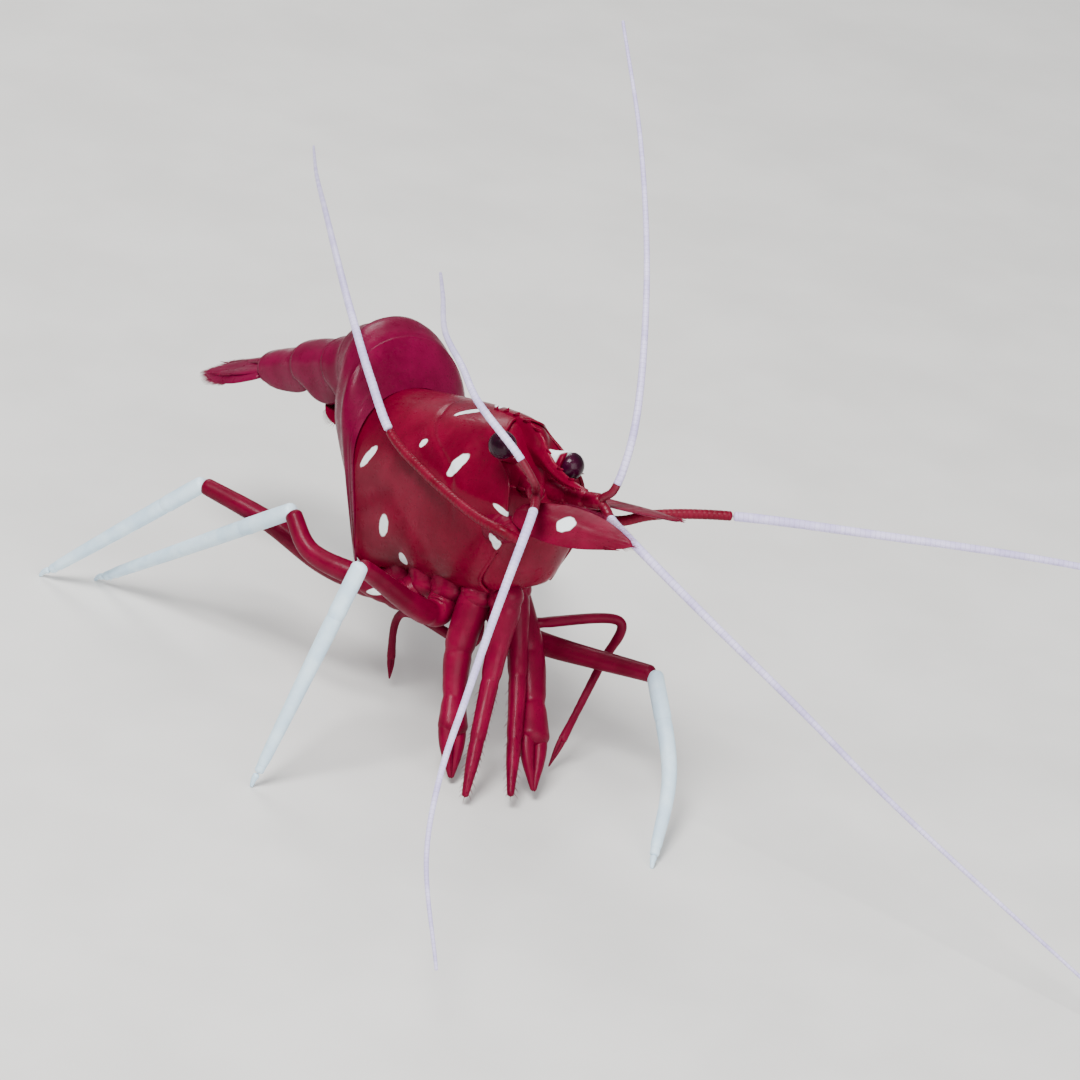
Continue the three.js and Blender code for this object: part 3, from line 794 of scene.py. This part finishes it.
# ---- Eyes ----
# Each eye is a dark, wet, faceted dome on a short movable stalk of the same red cuticle, with a
# white patch on the stalk beside the dome.
EYE_RADIUS = 0.84
EYE_BULGE = 0.97
EYE_BACK = 0.42
STALK_SET_IN = 0.6
STALK_UNDER_EYE = 0.2
EYE_ROOTS = {"R": (5.1, -1.5, 2.6), "L": (5.1, 1.3, 2.3)}
EYE_SPOTS = [
    ((5.65, 1.4, 2.4), (6.15, 1.6, 2.15), 1.1),
    ((5.8, -2.1, 3.45), (6.2, -2.55, 3.8), 0.8),
]
stalk_red = shell_finish("stalk_red", (92, 0, 34), (114, 0, 43), EYE_SPOTS, paired=False)


ROUTE_STEPS = 24


def smooth_route(points):
    """Close-set places on the even curve that runs through the points."""
    spots = [Vector(p) for p in points]
    spots = [2 * spots[0] - spots[1], *spots, 2 * spots[-1] - spots[-2]]
    line = []
    for a, b, c, d in zip(spots, spots[1:], spots[2:], spots[3:]):
        ab, bc, cd = ((q - p).length ** 0.5 for p, q in ((a, b), (b, c), (c, d)))
        leave = ((b - a) / ab - (c - a) / (ab + bc) + (c - b) / bc) * bc
        arrive = ((c - b) / bc - (d - b) / (bc + cd) + (d - c) / cd) * bc
        line += [between(i / ROUTE_STEPS, b, leave, c, arrive) for i in range(ROUTE_STEPS)]
    line.append(spots[-2])
    return line


def frames_along(points, count, start=0.0, end=1.0):
    """Even steps along the curve, each a place, two ways across it, and the way along it."""
    line = smooth_route(points)
    reach = [0.0]
    for a, b in zip(line, line[1:]):
        reach.append(reach[-1] + (b - a).length)
    frames = []
    side = Vector((0, 1, 0))
    for i in range(count + 1):
        goal = reach[-1] * (start + (end - start) * i / count)
        k = max(1, min(len(line) - 1, bisect_left(reach, goal)))
        t = (goal - reach[k - 1]) / (reach[k] - reach[k - 1])
        way = (line[k] - line[k - 1]).normalized()
        if i == 0 and abs(way.dot(side)) > 0.98:
            side = Vector((0, 0, 1))
        side = (side - way * way.dot(side)).normalized()
        frames.append((line[k - 1].lerp(line[k], t), side, way.cross(side), way))
    return frames, reach[-1] * (end - start)


def tube(points, radius, around, along, start=0.0, end=1.0, mark=None, dome=1.0, wide=1.0):
    """A limb on the curve through the points; radius and mark go from 0 to 1 along it. Where wide
    is over 1, it is that much wider to its side than it is thick."""
    frames, length = frames_along(points, along, start, end)

    def point(u, angle):
        at, side, up, _ = frames[round(u * along)]
        thick = radius(u)
        tip = min(u, 1 - u) * length / max(0.02, thick * dome)
        thick *= (1 - (1 - min(1.0, tip)) ** 2) ** 0.5
        return at + side * (sin(angle) * thick * wide) + up * (cos(angle) * thick / wide)

    marks = (lambda u, angle: mark(u)) if mark else None
    return loft(around, along, point, marks)


def taper(start, end):
    return lambda u: start + (end - start) * u


def seated(route, stem, depth):
    """The route with its start set that deep into the end of the stem that carries it."""
    end, before = Vector(stem[-1]), Vector(stem[-2])
    return [tuple(end - (end - before).normalized() * depth), *route]


eye_dark, place, shader = new_material(
    "eye_dark", Coat_Weight=0.22, Coat_Roughness=0.04, Specular_IOR_Level=0.1)
facets = place.node("TexVoronoi", {"feature": "DISTANCE_TO_EDGE"}, Vector=place, Scale=13000.0)
glow = place.noise(900.0, 2.0).ramp(0.35, 0.7)
colour = glow.blend(hue(36, 3, 26), hue(60, 6, 40))
colour = (facets.ramp(0.02, 0.12, 1.0, 0.0) * 0.5).blend(colour, hue(12, 1, 12))
colour.feed(shader, "Base Color")
facets.ramp(0.0, 0.2, 0.3, 0.16).feed(shader, "Roughness")
facets.ramp(0.0, 0.2).relief(shader, 0.3, 0.00001)

for letter, root in EYE_ROOTS.items():
    eye = Vector(EYE_PLACES[letter])
    outward = (eye - Vector(root)).normalized()
    neck = profile([(0, 0.5), (0.3, 0.42), (0.6, 0.56), (0.85, 0.76), (1, 0.8)])
    run = [Vector(root) - outward * STALK_SET_IN, eye - outward * STALK_UNDER_EYE]
    stalk = tube(run, neck, 36, 44, dome=0.2)
    settle(stalk, f"eyestalk_{letter}_skin", stalk_red, "head_shell", f"eyestalk_{letter}")
    dome = add_mesh("uv_sphere", segments=48, ring_count=32, radius=EYE_RADIUS)
    for v in dome.data.vertices:
        v.co.z *= EYE_BULGE if v.co.z > 0 else EYE_BACK
    move(facing(eye, outward), dome)
    settle(dome, f"eye_{letter}_dome", eye_dark, "eye", f"eye_{letter}")


# ---- Feelers of the first pair ----
# The antennules: a three-jointed red stem beside the rostrum, each with two long whips of many
# short rings. The whips are red where they leave the stem and white beyond.
RING_LENGTH = 0.3
ROWS_PER_RING = 4
WHIP_SIDES = 14
WAIST_DEPTH = 0.04
RED_FADE = 0.15
WHIP_ROOTS = {"outer": 0.25, "inner": 0.29}
WHIP_SEAT = 0.45
WHIP_TIP = 0.1
ANTENNULES = {
    "R": {
        "base": [(4.9, -0.9, 1.0), (7.2, -1.5, 1.0), (9.2, -3.0, 1.4)],
        "outer": [(9.3, -3.05, 1.75), (9.7, -3.5, 2.2), (9.2, -4.2, 3.8), (6.4, -4.8, 6.5),
                  (3.0, -3.3, 7.9), (-2.6, -0.1, 8.6), (-10.9, 6.2, 8.9), (-20.6, 13.6, 8.1)],
        "inner": [(9.3, -3.08, 1.1), (9.8, -3.5, 1.0), (10.7, -4.6, 0.4), (12.3, -8.4, -3.9),
                  (14.7, -12.6, -7.8), (17.2, -16.5, -11.1), (20.1, -19.8, -14.4),
                  (25.7, -23.6, -18.7)],
        "red": {"outer": 3.0, "inner": 2.1},
    },
    "L": {
        "base": [(4.9, 0.85, 0.6), (7.4, 0.95, 0.35), (10.6, 0.9, 0.5)],
        "outer": [(10.7, 0.9, 0.85), (11.25, 1.1, 1.25), (11.5, 2.4, 4.3), (8.2, 6.3, 11.4),
                  (2.8, 10.6, 19.0), (-3.8, 14.8, 25.7)],
        "inner": [(10.75, 0.88, 0.2), (11.4, 0.75, -0.3), (13.7, 0.2, -1.0), (17.6, 2.0, -4.7),
                  (22.9, 4.9, -10.0), (28.1, 7.7, -15.3), (38.6, 12.4, -24.1)],
        "red": {"outer": 1.9, "inner": 1.5},
    },
}


def whip_finish(name, pale, shade, joint_colour, red=None, wet=0.3):
    """Ringed whip: satin cuticle, darker in the joints between rings. The mark on the mesh is
    0 at the middle of a ring, 1 in a joint, and 2 more where the whip is still red."""
    material, place, shader = new_material(
        name, Coat_Weight=wet / 3, Coat_Roughness=0.3, Specular_IOR_Level=wet)
    mark = place.node("Attribute", {"attribute_name": "mark"}, 2)
    reddened = mark.ramp(1.4, 1.8)
    joint = mark - reddened * 2.0
    clouds = place.noise(700.0).ramp(0.3, 0.7)
    colour = clouds.blend(hue(*pale), hue(*shade))
    colour = (joint.ramp(0.55, 1.0) * 0.4).blend(colour, hue(*joint_colour))
    if red:
        colour = reddened.blend(colour, hue(*red))
    colour.feed(shader, "Base Color")
    clouds.ramp(0.0, 1.0, 0.36, 0.5).feed(shader, "Roughness")
    (place.noise(5000.0, 2.0) * 0.5 - joint).relief(shader, 0.3, 0.00002)
    return material


whip_white = whip_finish(
    "whip_white", (216, 208, 242), (188, 177, 223), (150, 128, 176), red=(98, 2, 36))
whip_red = whip_finish("whip_red", (92, 0, 30), (110, 1, 40), (72, 0, 26), wet=0.12)


def whip(points, root, tip, start=0.0, end=1.0, red_length=0.0):
    """A whip of short rings that narrows from root to tip along the whole route. Only the part
    from start to end is made, and its first red_length is marked red."""
    _, whole = frames_along(points, 4)
    rings = max(4, round(whole * (end - start) / RING_LENGTH))
    thick = taper(root, tip)

    def waist(u):
        return (0.5 + 0.5 * cos(tau * rings * u)) ** 3

    def radius(u):
        share = start + (end - start) * u
        return thick(share) * (1.01 - WAIST_DEPTH * waist(u))

    def mark(u):
        run = (start + (end - start) * u) * whole
        white = ease(red_length - RED_FADE, red_length + RED_FADE, run) if red_length else 1
        return waist(u) + 2 * (1 - white)

    return tube(points, radius, WHIP_SIDES, rings * ROWS_PER_RING, start, end, mark, dome=0.6)


def jointed(pairs, joints, pinch=0.1, flare=0.05, width=0.025):
    """A limb's thickness: its own run, drawn in at each joint and flared just before it."""
    run = profile(pairs)

    def radius(u):
        thick = run(u)
        for joint in joints:
            swell = flare * bump(u - joint + 2.2 * width, 1.3 * width)
            thick *= 1 - pinch * bump(u - joint, width) + swell
        return thick

    return radius


for letter, made in ANTENNULES.items():
    side = SIDES[letter]
    stem_run = [(0, 0.62), (0.35, 0.6), (0.4, 0.52), (0.7, 0.52), (0.75, 0.5), (1, 0.5)]
    stem = tube(made["base"], jointed(stem_run, (0.46, 0.74)), 28, 70)
    x, y, z = made["base"][1]
    weld(stem, [spine((x - 1.4, y + side * 0.3, z), (1, side * 0.28, 0.05), 1.5, 0.2)])
    settle(stem, f"antennule_{letter}_stem", stalk_red, "head_shell", f"antennule_{letter}")
    for branch in ("outer", "inner"):
        route = seated(made[branch], made["base"], WHIP_SEAT)
        lash = whip(route, WHIP_ROOTS[branch], WHIP_TIP, red_length=made["red"][branch])
        node = f"antennule_feeler_{branch}_{letter}"
        settle(lash, f"{node}_whip", whip_white, "feeler", node)


# ---- Feelers of the second pair ----
# The antennae: a stout base, a flat leaf-like scale edged with bristles, and a very long ringed
# whip, red for its first stretch and white from there to the tip.
LASH_ROOT = 0.32
LASH_TIP = 0.08
SCALE_WIDTH = 3.0
SCALE_THORN_AT = 0.82
SCALE_THORN_OUT = 0.68
# A scale has a root, a tip and a roll in degrees. The share of the feeler that is red comes last.
ANTENNAE = {
    "R": {
        "base": [(4.9, -2.4, -1.3), (6.6, -3.0, -1.2), (8.0, -3.6, -1.2)],
        "scale": ((6.9, -2.7, -0.1), (15.6, -1.1, -0.9), 32),
        "feeler": [(8.06, -3.63, -1.2), (8.75, -4.1, -1.2), (8.6, -4.85, -0.7), (6.6, -5.1, -0.2),
                   (1.5, -4.9, 1.5), (-1.9, -4.8, 3.3), (-4.5, -4.3, 6.2), (-8.5, -2.7, 9.6),
                   (-13.9, 0.4, 11.7), (-21.1, 5.0, 13.0), (-31.4, 12.0, 13.3),
                   (-43.0, 20.4, 12.9)],
        "red": 0.216,
    },
    "L": {
        "base": [(4.9, 2.4, -1.3), (6.8, 2.9, -1.3), (8.6, 3.2, -1.3)],
        "scale": ((6.9, 3.0, -0.2), (15.2, 2.7, -0.1), -12),
        "feeler": [(8.66, 3.2, -1.3), (9.4, 3.5, -1.2), (10.4, 4.7, -0.9), (12.7, 7.9, -1.0),
                   (17.7, 14.4, -2.2), (24.8, 25.5, -4.8), (31.5, 37.2, -8.8), (39.8, 51.3, -15.9)],
        "red": 0.127,
    },
}
SCALE_SPOTS = [((10.5, -2.2, -0.25), (11.05, -2.1, -0.32), 0.66), SPOTS[7]]
scale_red = shell_finish("scale_red", (90, 0, 34), (110, 0, 44), SCALE_SPOTS, gloss=0.46, wet=0.03)

for letter, made in ANTENNAE.items():
    side = SIDES[letter]
    base_run = [(0, 1.05), (0.3, 1.1), (0.5, 0.86), (0.8, 0.62), (1, 0.46)]
    inside = Vector(made["base"][0]) - Vector((0.8, 0, 0))
    base = tube([inside, *made["base"]], jointed(base_run, (0.52, 0.8)), 28, 64)
    x, y, z = made["base"][1]
    weld(base, [spine((x - 0.8, y + side * 0.45, z - 0.25), (1, side * 0.3, -0.05), 0.9, 0.2)])
    node = f"antenna_base_{letter}"
    settle(base, f"{node}_joints", scale_red, "head_shell", node)

    root, tip, roll = made["scale"]
    along = Vector(tip) - Vector(root)
    leaf, fringe = paddle(along.length, SCALE_WIDTH, 1.1, 0.2, rib=0.1, fringe=0.5,
                          fringe_from=0.3, outline=POINTED, one_edge=-side)
    at = (along.length * SCALE_THORN_AT, side * SCALE_THORN_OUT, 0)
    weld(leaf, [spine(at, (1, side * 0.05, 0), 1.0, 0.13)])
    turns = (
        ("Z", atan2(along.y, along.x)),
        ("Y", -asin(along.z / along.length)),
        ("X", radians(roll)),
    )
    move(placing(root, *turns), leaf, fringe)
    node = f"antenna_scale_{letter}"
    settle(leaf, f"{node}_leaf", scale_red, "head_shell", node)
    settle(fringe, f"{node}_bristles", bristle_pink, "head_shell")

    route = seated(made["feeler"], made["base"], WHIP_SEAT)
    for colour, start, end, finish in (
        ("red", 0.0, made["red"], whip_red), ("white", made["red"], 1.0, whip_white),
    ):
        node = f"antenna_feeler_{colour}_{letter}"
        settle(whip(route, LASH_ROOT, LASH_TIP, start, end), f"{node}_whip", finish, "feeler", node)


# ---- Mouth limbs and pincers ----
# Under the head hang the last pair of jaw feet, bristly at the tip, a pair of short pincers, and
# a pair of long thin pincers with many-jointed wrists. All are red, jointed and glossy.
ROOT_Z = UNDERSIDE - 0.05
limb_red = shell_finish("limb_red", (92, 1, 37), (115, 4, 47), gloss=0.4, wet=0.06)


def rooted(x, y, depth=0.6):
    """The first two places of a limb: inside the trunk, and where it leaves the underside."""
    return (x, y, ROOT_Z + depth), (x, y, ROOT_Z)


JAW_FOOT = [(0, 0.95), (0.14, 0.9), (0.28, 0.7), (0.5, 0.54), (0.8, 0.42), (1, 0.2)]
PINCER = [(0, 1.0), (0.12, 1.0), (0.3, 0.9), (0.45, 0.8), (0.58, 0.68), (0.66, 0.76),
          (0.78, 0.92), (0.9, 0.86)]
THIN_PINCER = [(0, 0.42), (0.2, 0.36), (0.55, 0.3), (0.85, 0.24), (0.9, 0.27), (0.95, 0.27)]
# Each kind's run, its joints, how far along it the fingers part, where in the palm they start,
# the width of its joint creases, and how much wider than thick it is.
LIMB_KINDS = {
    "maxilliped_3": (JAW_FOOT, (0.1, 0.45, 0.74), None, None, 0.02, 1.0),
    "cheliped_1": (PINCER, (0.1, 0.38, 0.6), 0.8, 0.71, 0.02, 1.12),
    "cheliped_2": (THIN_PINCER, None, 0.92, 0.89, 0.012, 1.0),
}
WRIST_JOINTS = {
    "R": (0.12, 0.4, *[0.62 + 0.025 * k for k in range(9)]),
    "L": (0.12, 0.3, *[0.6 + 0.028 * k for k in range(9)]),
}
MOUTH_LIMBS = {
    "maxilliped_3_R": [*rooted(4.2, -1.1), (3.9, -2.0, -9.8), (6.2, -6.2, -16.8)],
    "maxilliped_3_L": [*rooted(2.3, 0.8), (3.6, 0.0, -10.4), (7.6, -3.9, -16.9)],
    "cheliped_1_R": [*rooted(2.3, -1.8), (1.8, -3.0, -9.4), (3.9, -5.4, -16.3)],
    "cheliped_1_L": [*rooted(1.0, 1.4), (3.2, 1.3, -10.3), (7.4, -2.0, -17.0)],
    "cheliped_2_R": [*rooted(1.0, -0.9, 0.5), (0.6, -0.9, -9.4), (-5.6, -1.6, -8.8),
                     (-6.6, -1.8, -13.0)],
    "cheliped_2_L": [*rooted(-0.2, 0.5, 0.5), (0.4, 0.7, -8.3), (4.9, 6.9, -8.8),
                     (4.3, 5.8, -11.3), (5.0, 1.1, -16.6)],
}
BRUSH_HAIRS = 120
BRUSH_FROM = 0.45
BRUSH_TO = 0.99
BRUSH_TURN = 2.4
LIMB_ROWS_PER_MM = 9
PALM_SWELL = 1.05
FINGER = (0.9, 1.0, 0.95, 0.75, 0.4, 0.12)
FINGER_STEP = 8


def pincer_fingers(route, share, palm):
    """The two fingers of a pincer, which start inside its palm and curve to meet at their tips."""
    frames, _ = frames_along(route, FINGER_STEP * (len(FINGER) - 1), share, 1.0)
    run = profile([(0, 0.5 * palm), (0.35, 0.46 * palm), (0.8, 0.24 * palm), (1, 0.1 * palm)])
    fingers = []
    for side, gap in ((-1, 0.5), (1, 0.42)):
        reach = [at + across * side * palm * gap * part
                 for part, (at, across, _, _) in zip(FINGER, frames[::FINGER_STEP])]
        fingers.append(tube(reach, run, 16, 30))
    return fingers


for name, route in MOUTH_LIMBS.items():
    kind, letter = name.rsplit("_", 1)
    pairs, joints, claw, palm, crease, wide = LIMB_KINDS[kind]
    _, whole = frames_along(route, 4)
    stop = claw or 1.0
    run = jointed(pairs, joints or WRIST_JOINTS[letter], 0.07, 0.025, crease)
    limb = tube(route, lambda u: run(u * stop), 22, int(whole * LIMB_ROWS_PER_MM), 0.0, stop,
                dome=0.9 if claw else 1.0, wide=wide)
    if claw:
        extras = pincer_fingers(route, palm, run(stop) * PALM_SWELL)
    else:
        frames, _ = frames_along(route, BRUSH_HAIRS, BRUSH_FROM, BRUSH_TO)
        starts = []
        for k, (at, across, up, way) in enumerate(frames):
            around = k * BRUSH_TURN
            out = across * cos(around) + up * sin(around)
            thick = run(BRUSH_FROM + (BRUSH_TO - BRUSH_FROM) * k / BRUSH_HAIRS) * 0.8
            starts.append((at + out * thick, out * 0.8 + way, random.uniform(0.35, 0.55), BRISTLE))
        extras = [bristles(starts)]
    weld(limb, extras)
    settle(limb, f"{name}_limb", limb_red, "limb_red", name)


# ---- Walking legs ----
# Three pairs of slender jointed legs. The upper lengths are red like the shell; from the knee
# down they are white, armed with small thorns behind, and end in a short claw on the floor.
def on_floor(x, y):
    """The point of the floor at the animal's own x and y."""
    height = trunk_middle.z / MM
    return x, y, (-height - x * sin(HEAD_UP)) / cos(HEAD_UP)


# Each leg's red part, from its root to its knee, and the white part from there to the floor.
LEGS = {
    "3_R": ([(0.0, -2.2, ROOT_Z), (0.3, -3.4, -7.2), (2.7, -10.8, -2.8)],
            [on_floor(-0.3, -16.8)]),
    "3_L": ([(0.0, 2.1, ROOT_Z), (-0.3, 2.0, -8.9), (1.2, 2.7, -9.7), (8.6, 6.4, -11.2)],
            [(12.4, 4.2, -16.0), on_floor(15.8, -0.1)]),
    "4_R": ([(-2.2, -2.2, ROOT_Z), (-2.6, -3.6, -6.7), (-3.9, -6.2, -5.3), (-6.55, -7.6, -4.0),
             (-8.2, -7.6, -1.9)],
            [on_floor(-24.4, -11)]),
    "4_L": ([(-2.2, 2.2, ROOT_Z), (-3.0, 3.8, -7.0), (-8.5, 11.2, -3.5)],
            [on_floor(-17.5, 17.5)]),
    "5_R": ([(-4.2, -2.1, ROOT_Z), (-5.4, -3.0, -6.6), (-8.3, -4.9, -5.7), (-11.65, -6.95, -3.2),
             (-15.5, -8.9, -1.3)],
            [on_floor(-26, -14)]),
    "5_L": ([(-4.2, 2.1, ROOT_Z), (-5.4, 3.6, -6.7), (-9.5, 6.6, -4.4), (-14.0, 8.5, -1.0)],
            [on_floor(-24, 10)]),
}
LEG_SPOTS = [((-2.5, -5.4, -6.2), (-3.0, -5.8, -6.0), 0.4)]
leg_red = shell_finish("leg_red", (88, 1, 34), (110, 5, 45), LEG_SPOTS, gloss=0.4, wet=0.06)
leg_white = whip_finish("leg_white", (212, 234, 246), (190, 216, 234), (152, 172, 196))
THIGH = [(0, 1.1), (0.15, 1.0), (0.3, 0.8), (0.6, 0.66), (0.85, 0.57), (1, 0.52)]
SHIN = [(0, 0.5), (0.1, 0.52), (0.3, 0.5), (0.6, 0.44), (0.9, 0.35), (1, 0.27)]
SHIN_JOINTS = {0.26: 0.012, 0.96: 0.01}
SHIN_SPINES = 15
LEG_SET_IN = 0.7
CLAW_LENGTH = 0.9
CLAW_CURL = 0.12
KNEE_OVERLAP = 0.26


def shin_mark(u):
    return sum(0.8 * bump(u - joint, width) for joint, width in SHIN_JOINTS.items())


for name, (above, below) in LEGS.items():
    root = Vector(above[0]) + Vector((0, 0, LEG_SET_IN))
    thigh = tube([root, *above], jointed(THIGH, (0.13, 0.3)), 26, 120, dome=0.7)
    settle(thigh, f"leg_{name}_thigh", leg_red, "limb_red", f"leg_{name}_upper")

    knee = Vector(above[-1])
    lower = [Vector(p) for p in below]
    lower = [knee - (lower[0] - knee).normalized() * KNEE_OVERLAP, *lower]
    foot = lower[-1].copy()
    frames, _ = frames_along(lower, 60)
    lower[-1] = foot - frames[-1][3] * CLAW_LENGTH
    crease = jointed(SHIN, SHIN_JOINTS, pinch=0.05, flare=0.03, width=0.014)
    shin = tube(lower, crease, 24, 150, mark=shin_mark, dome=0.7)
    extras = []
    frames, _ = frames_along(lower, SHIN_SPINES - 1, 0.35, 0.96)
    for at, across, up, along in frames:
        behind = across if abs(across.z) > abs(up.z) else up
        behind = behind * (-1 if behind.z > 0 else 1)
        extras.append(spine(at + behind * 0.24, behind * 0.6 + along, 0.3, 0.05))
    claw_route = [lower[-1], lower[-1].lerp(foot, 0.5) + Vector((0, 0, CLAW_CURL)), foot]
    extras.append(tube(claw_route, taper(0.24, 0.09), 14, 20))
    weld(shin, extras)
    settle(shin, f"leg_{name}_shin", leg_white, "limb_white", f"leg_{name}_lower")


# ---- Leg roots and mouth ----
# Short stout coxae, one at the root of each limb, close the underside of the chest. Between the
# cheeks the smaller jaw feet lie folded over the mouth, soft and red.
COXAE = {
    "R": [(3.7, 1.1, 0.85), (2.3, 1.7, 1.1), (0.3, 2.1, 1.3), (-1.8, 2.2, 1.3), (-4.0, 2.1, 1.2),
          (-5.7, 1.7, 1.0)],
    "L": [(2.4, 0.9, 0.85), (1.1, 1.5, 1.0), (0.0, 2.1, 1.2), (-1.9, 2.2, 1.3), (-4.0, 2.1, 1.2),
          (-5.7, 1.7, 1.0)],
}
FOLDED_FEET = [(0.5, 4.2, -3.9), (1.15, 3.8, -4.4)]
FOLDED_THICK = 0.6
for letter, side in SIDES.items():
    roots = []
    for x, out, thick in COXAE[letter]:
        route = [(x, side * (out - 0.9), ROOT_Z + 1.1), (x, side * out, ROOT_Z + 0.1),
                 (x, side * (out + 0.3), ROOT_Z - 1.3)]
        run = jointed([(0, thick), (0.6, thick), (1, thick * 0.85)], (0.62,), width=0.06)
        roots.append(tube(route, run, 24, 24, dome=0.8))
    run = jointed([(0, FOLDED_THICK), (0.6, FOLDED_THICK * 0.8), (1, FOLDED_THICK * 0.4)], (0.45,))
    for out, forward, low in FOLDED_FEET:
        route = [(forward - 2.4, side * out, -5.3), (forward - 0.7, side * out * 1.05, low - 0.8),
                 (forward + 0.1, side * out * 0.9, low), (forward, side * out * 0.6, low + 1.5)]
        roots.append(tube(route, run, 20, 44))
    weld(roots[0], roots[1:])
    settle(roots[0], f"limb_roots_{letter}", limb_red, "limb_red")


# ---- Studio ----
# A plain pale floor under the feet, three broad soft lamps and a pale sky, and the camera, which
# looks from in front of the animal's right side, a little from above.
FLOOR_SIZE = 3.0
bpy.ops.mesh.primitive_plane_add(size=FLOOR_SIZE, location=(0, 0, 0))
floor = bpy.context.object
floor.name = "floor"
floor_pale, place, shader = new_material("floor_pale", Roughness=0.7)
grain = place.noise(90.0).ramp(0.3, 0.7)
grain.blend(hue(214, 212, 208), hue(222, 220, 216)).feed(shader, "Base Color")
floor.data.materials.append(floor_pale)

# Each lamp's place, size and power.
LAMPS = {
    "key_lamp": ((-0.16, -0.04, 0.30), 0.14, 1.8),
    "fill_lamp": ((-0.06, -0.30, 0.14), 0.26, 1.0),
    "rear_lamp": ((0.10, 0.28, 0.26), 0.16, 0.7),
}
for name, (at, size, power_in_watts) in LAMPS.items():
    bpy.ops.object.light_add(type="AREA", location=at)
    light = bpy.context.object
    light.name = name
    light.data.size = size
    light.data.energy = power_in_watts
    light.rotation_euler = (trunk_middle - Vector(at)).to_track_quat("-Z", "Y").to_euler()
world = bpy.data.worlds.new("pale_sky")
world.use_nodes = True
sky = world.node_tree.nodes["Background"].inputs
sky["Color"].default_value = (0.92, 0.95, 1.0, 1.0)
sky["Strength"].default_value = 0.34
bpy.context.scene.world = world

CAMERA_SIDE = radians(42.8)
CAMERA_HIGH = radians(25.7)
CAMERA_ROLL = radians(10.4)
CAMERA_AWAY = 0.300
VIEW_WIDTH = 0.0639
AIM_RIGHT = 0.00373
AIM_UP = -0.00337
SENSOR = 36.0
across = cos(CAMERA_HIGH)
away = Vector((-sin(CAMERA_SIDE) * across, -cos(CAMERA_SIDE) * across, sin(CAMERA_HIGH)))
level = Vector((cos(CAMERA_SIDE), -sin(CAMERA_SIDE), 0))
upright = away.cross(level)
right = level * cos(CAMERA_ROLL) + upright * sin(CAMERA_ROLL)
up = away.cross(right)
turned = Matrix((right, up, away)).transposed()
camera_data = bpy.data.cameras.new("camera")
camera_data.sensor_width = SENSOR
camera_data.lens = SENSOR * CAMERA_AWAY / VIEW_WIDTH
camera_data.clip_start = 0.005
camera = bpy.data.objects.new("camera", camera_data)
at = trunk_middle + away * CAMERA_AWAY + right * AIM_RIGHT + up * AIM_UP
camera.matrix_world = Matrix.Translation(at) @ turned.to_4x4()
bpy.context.scene.collection.objects.link(camera)
bpy.context.scene.camera = camera
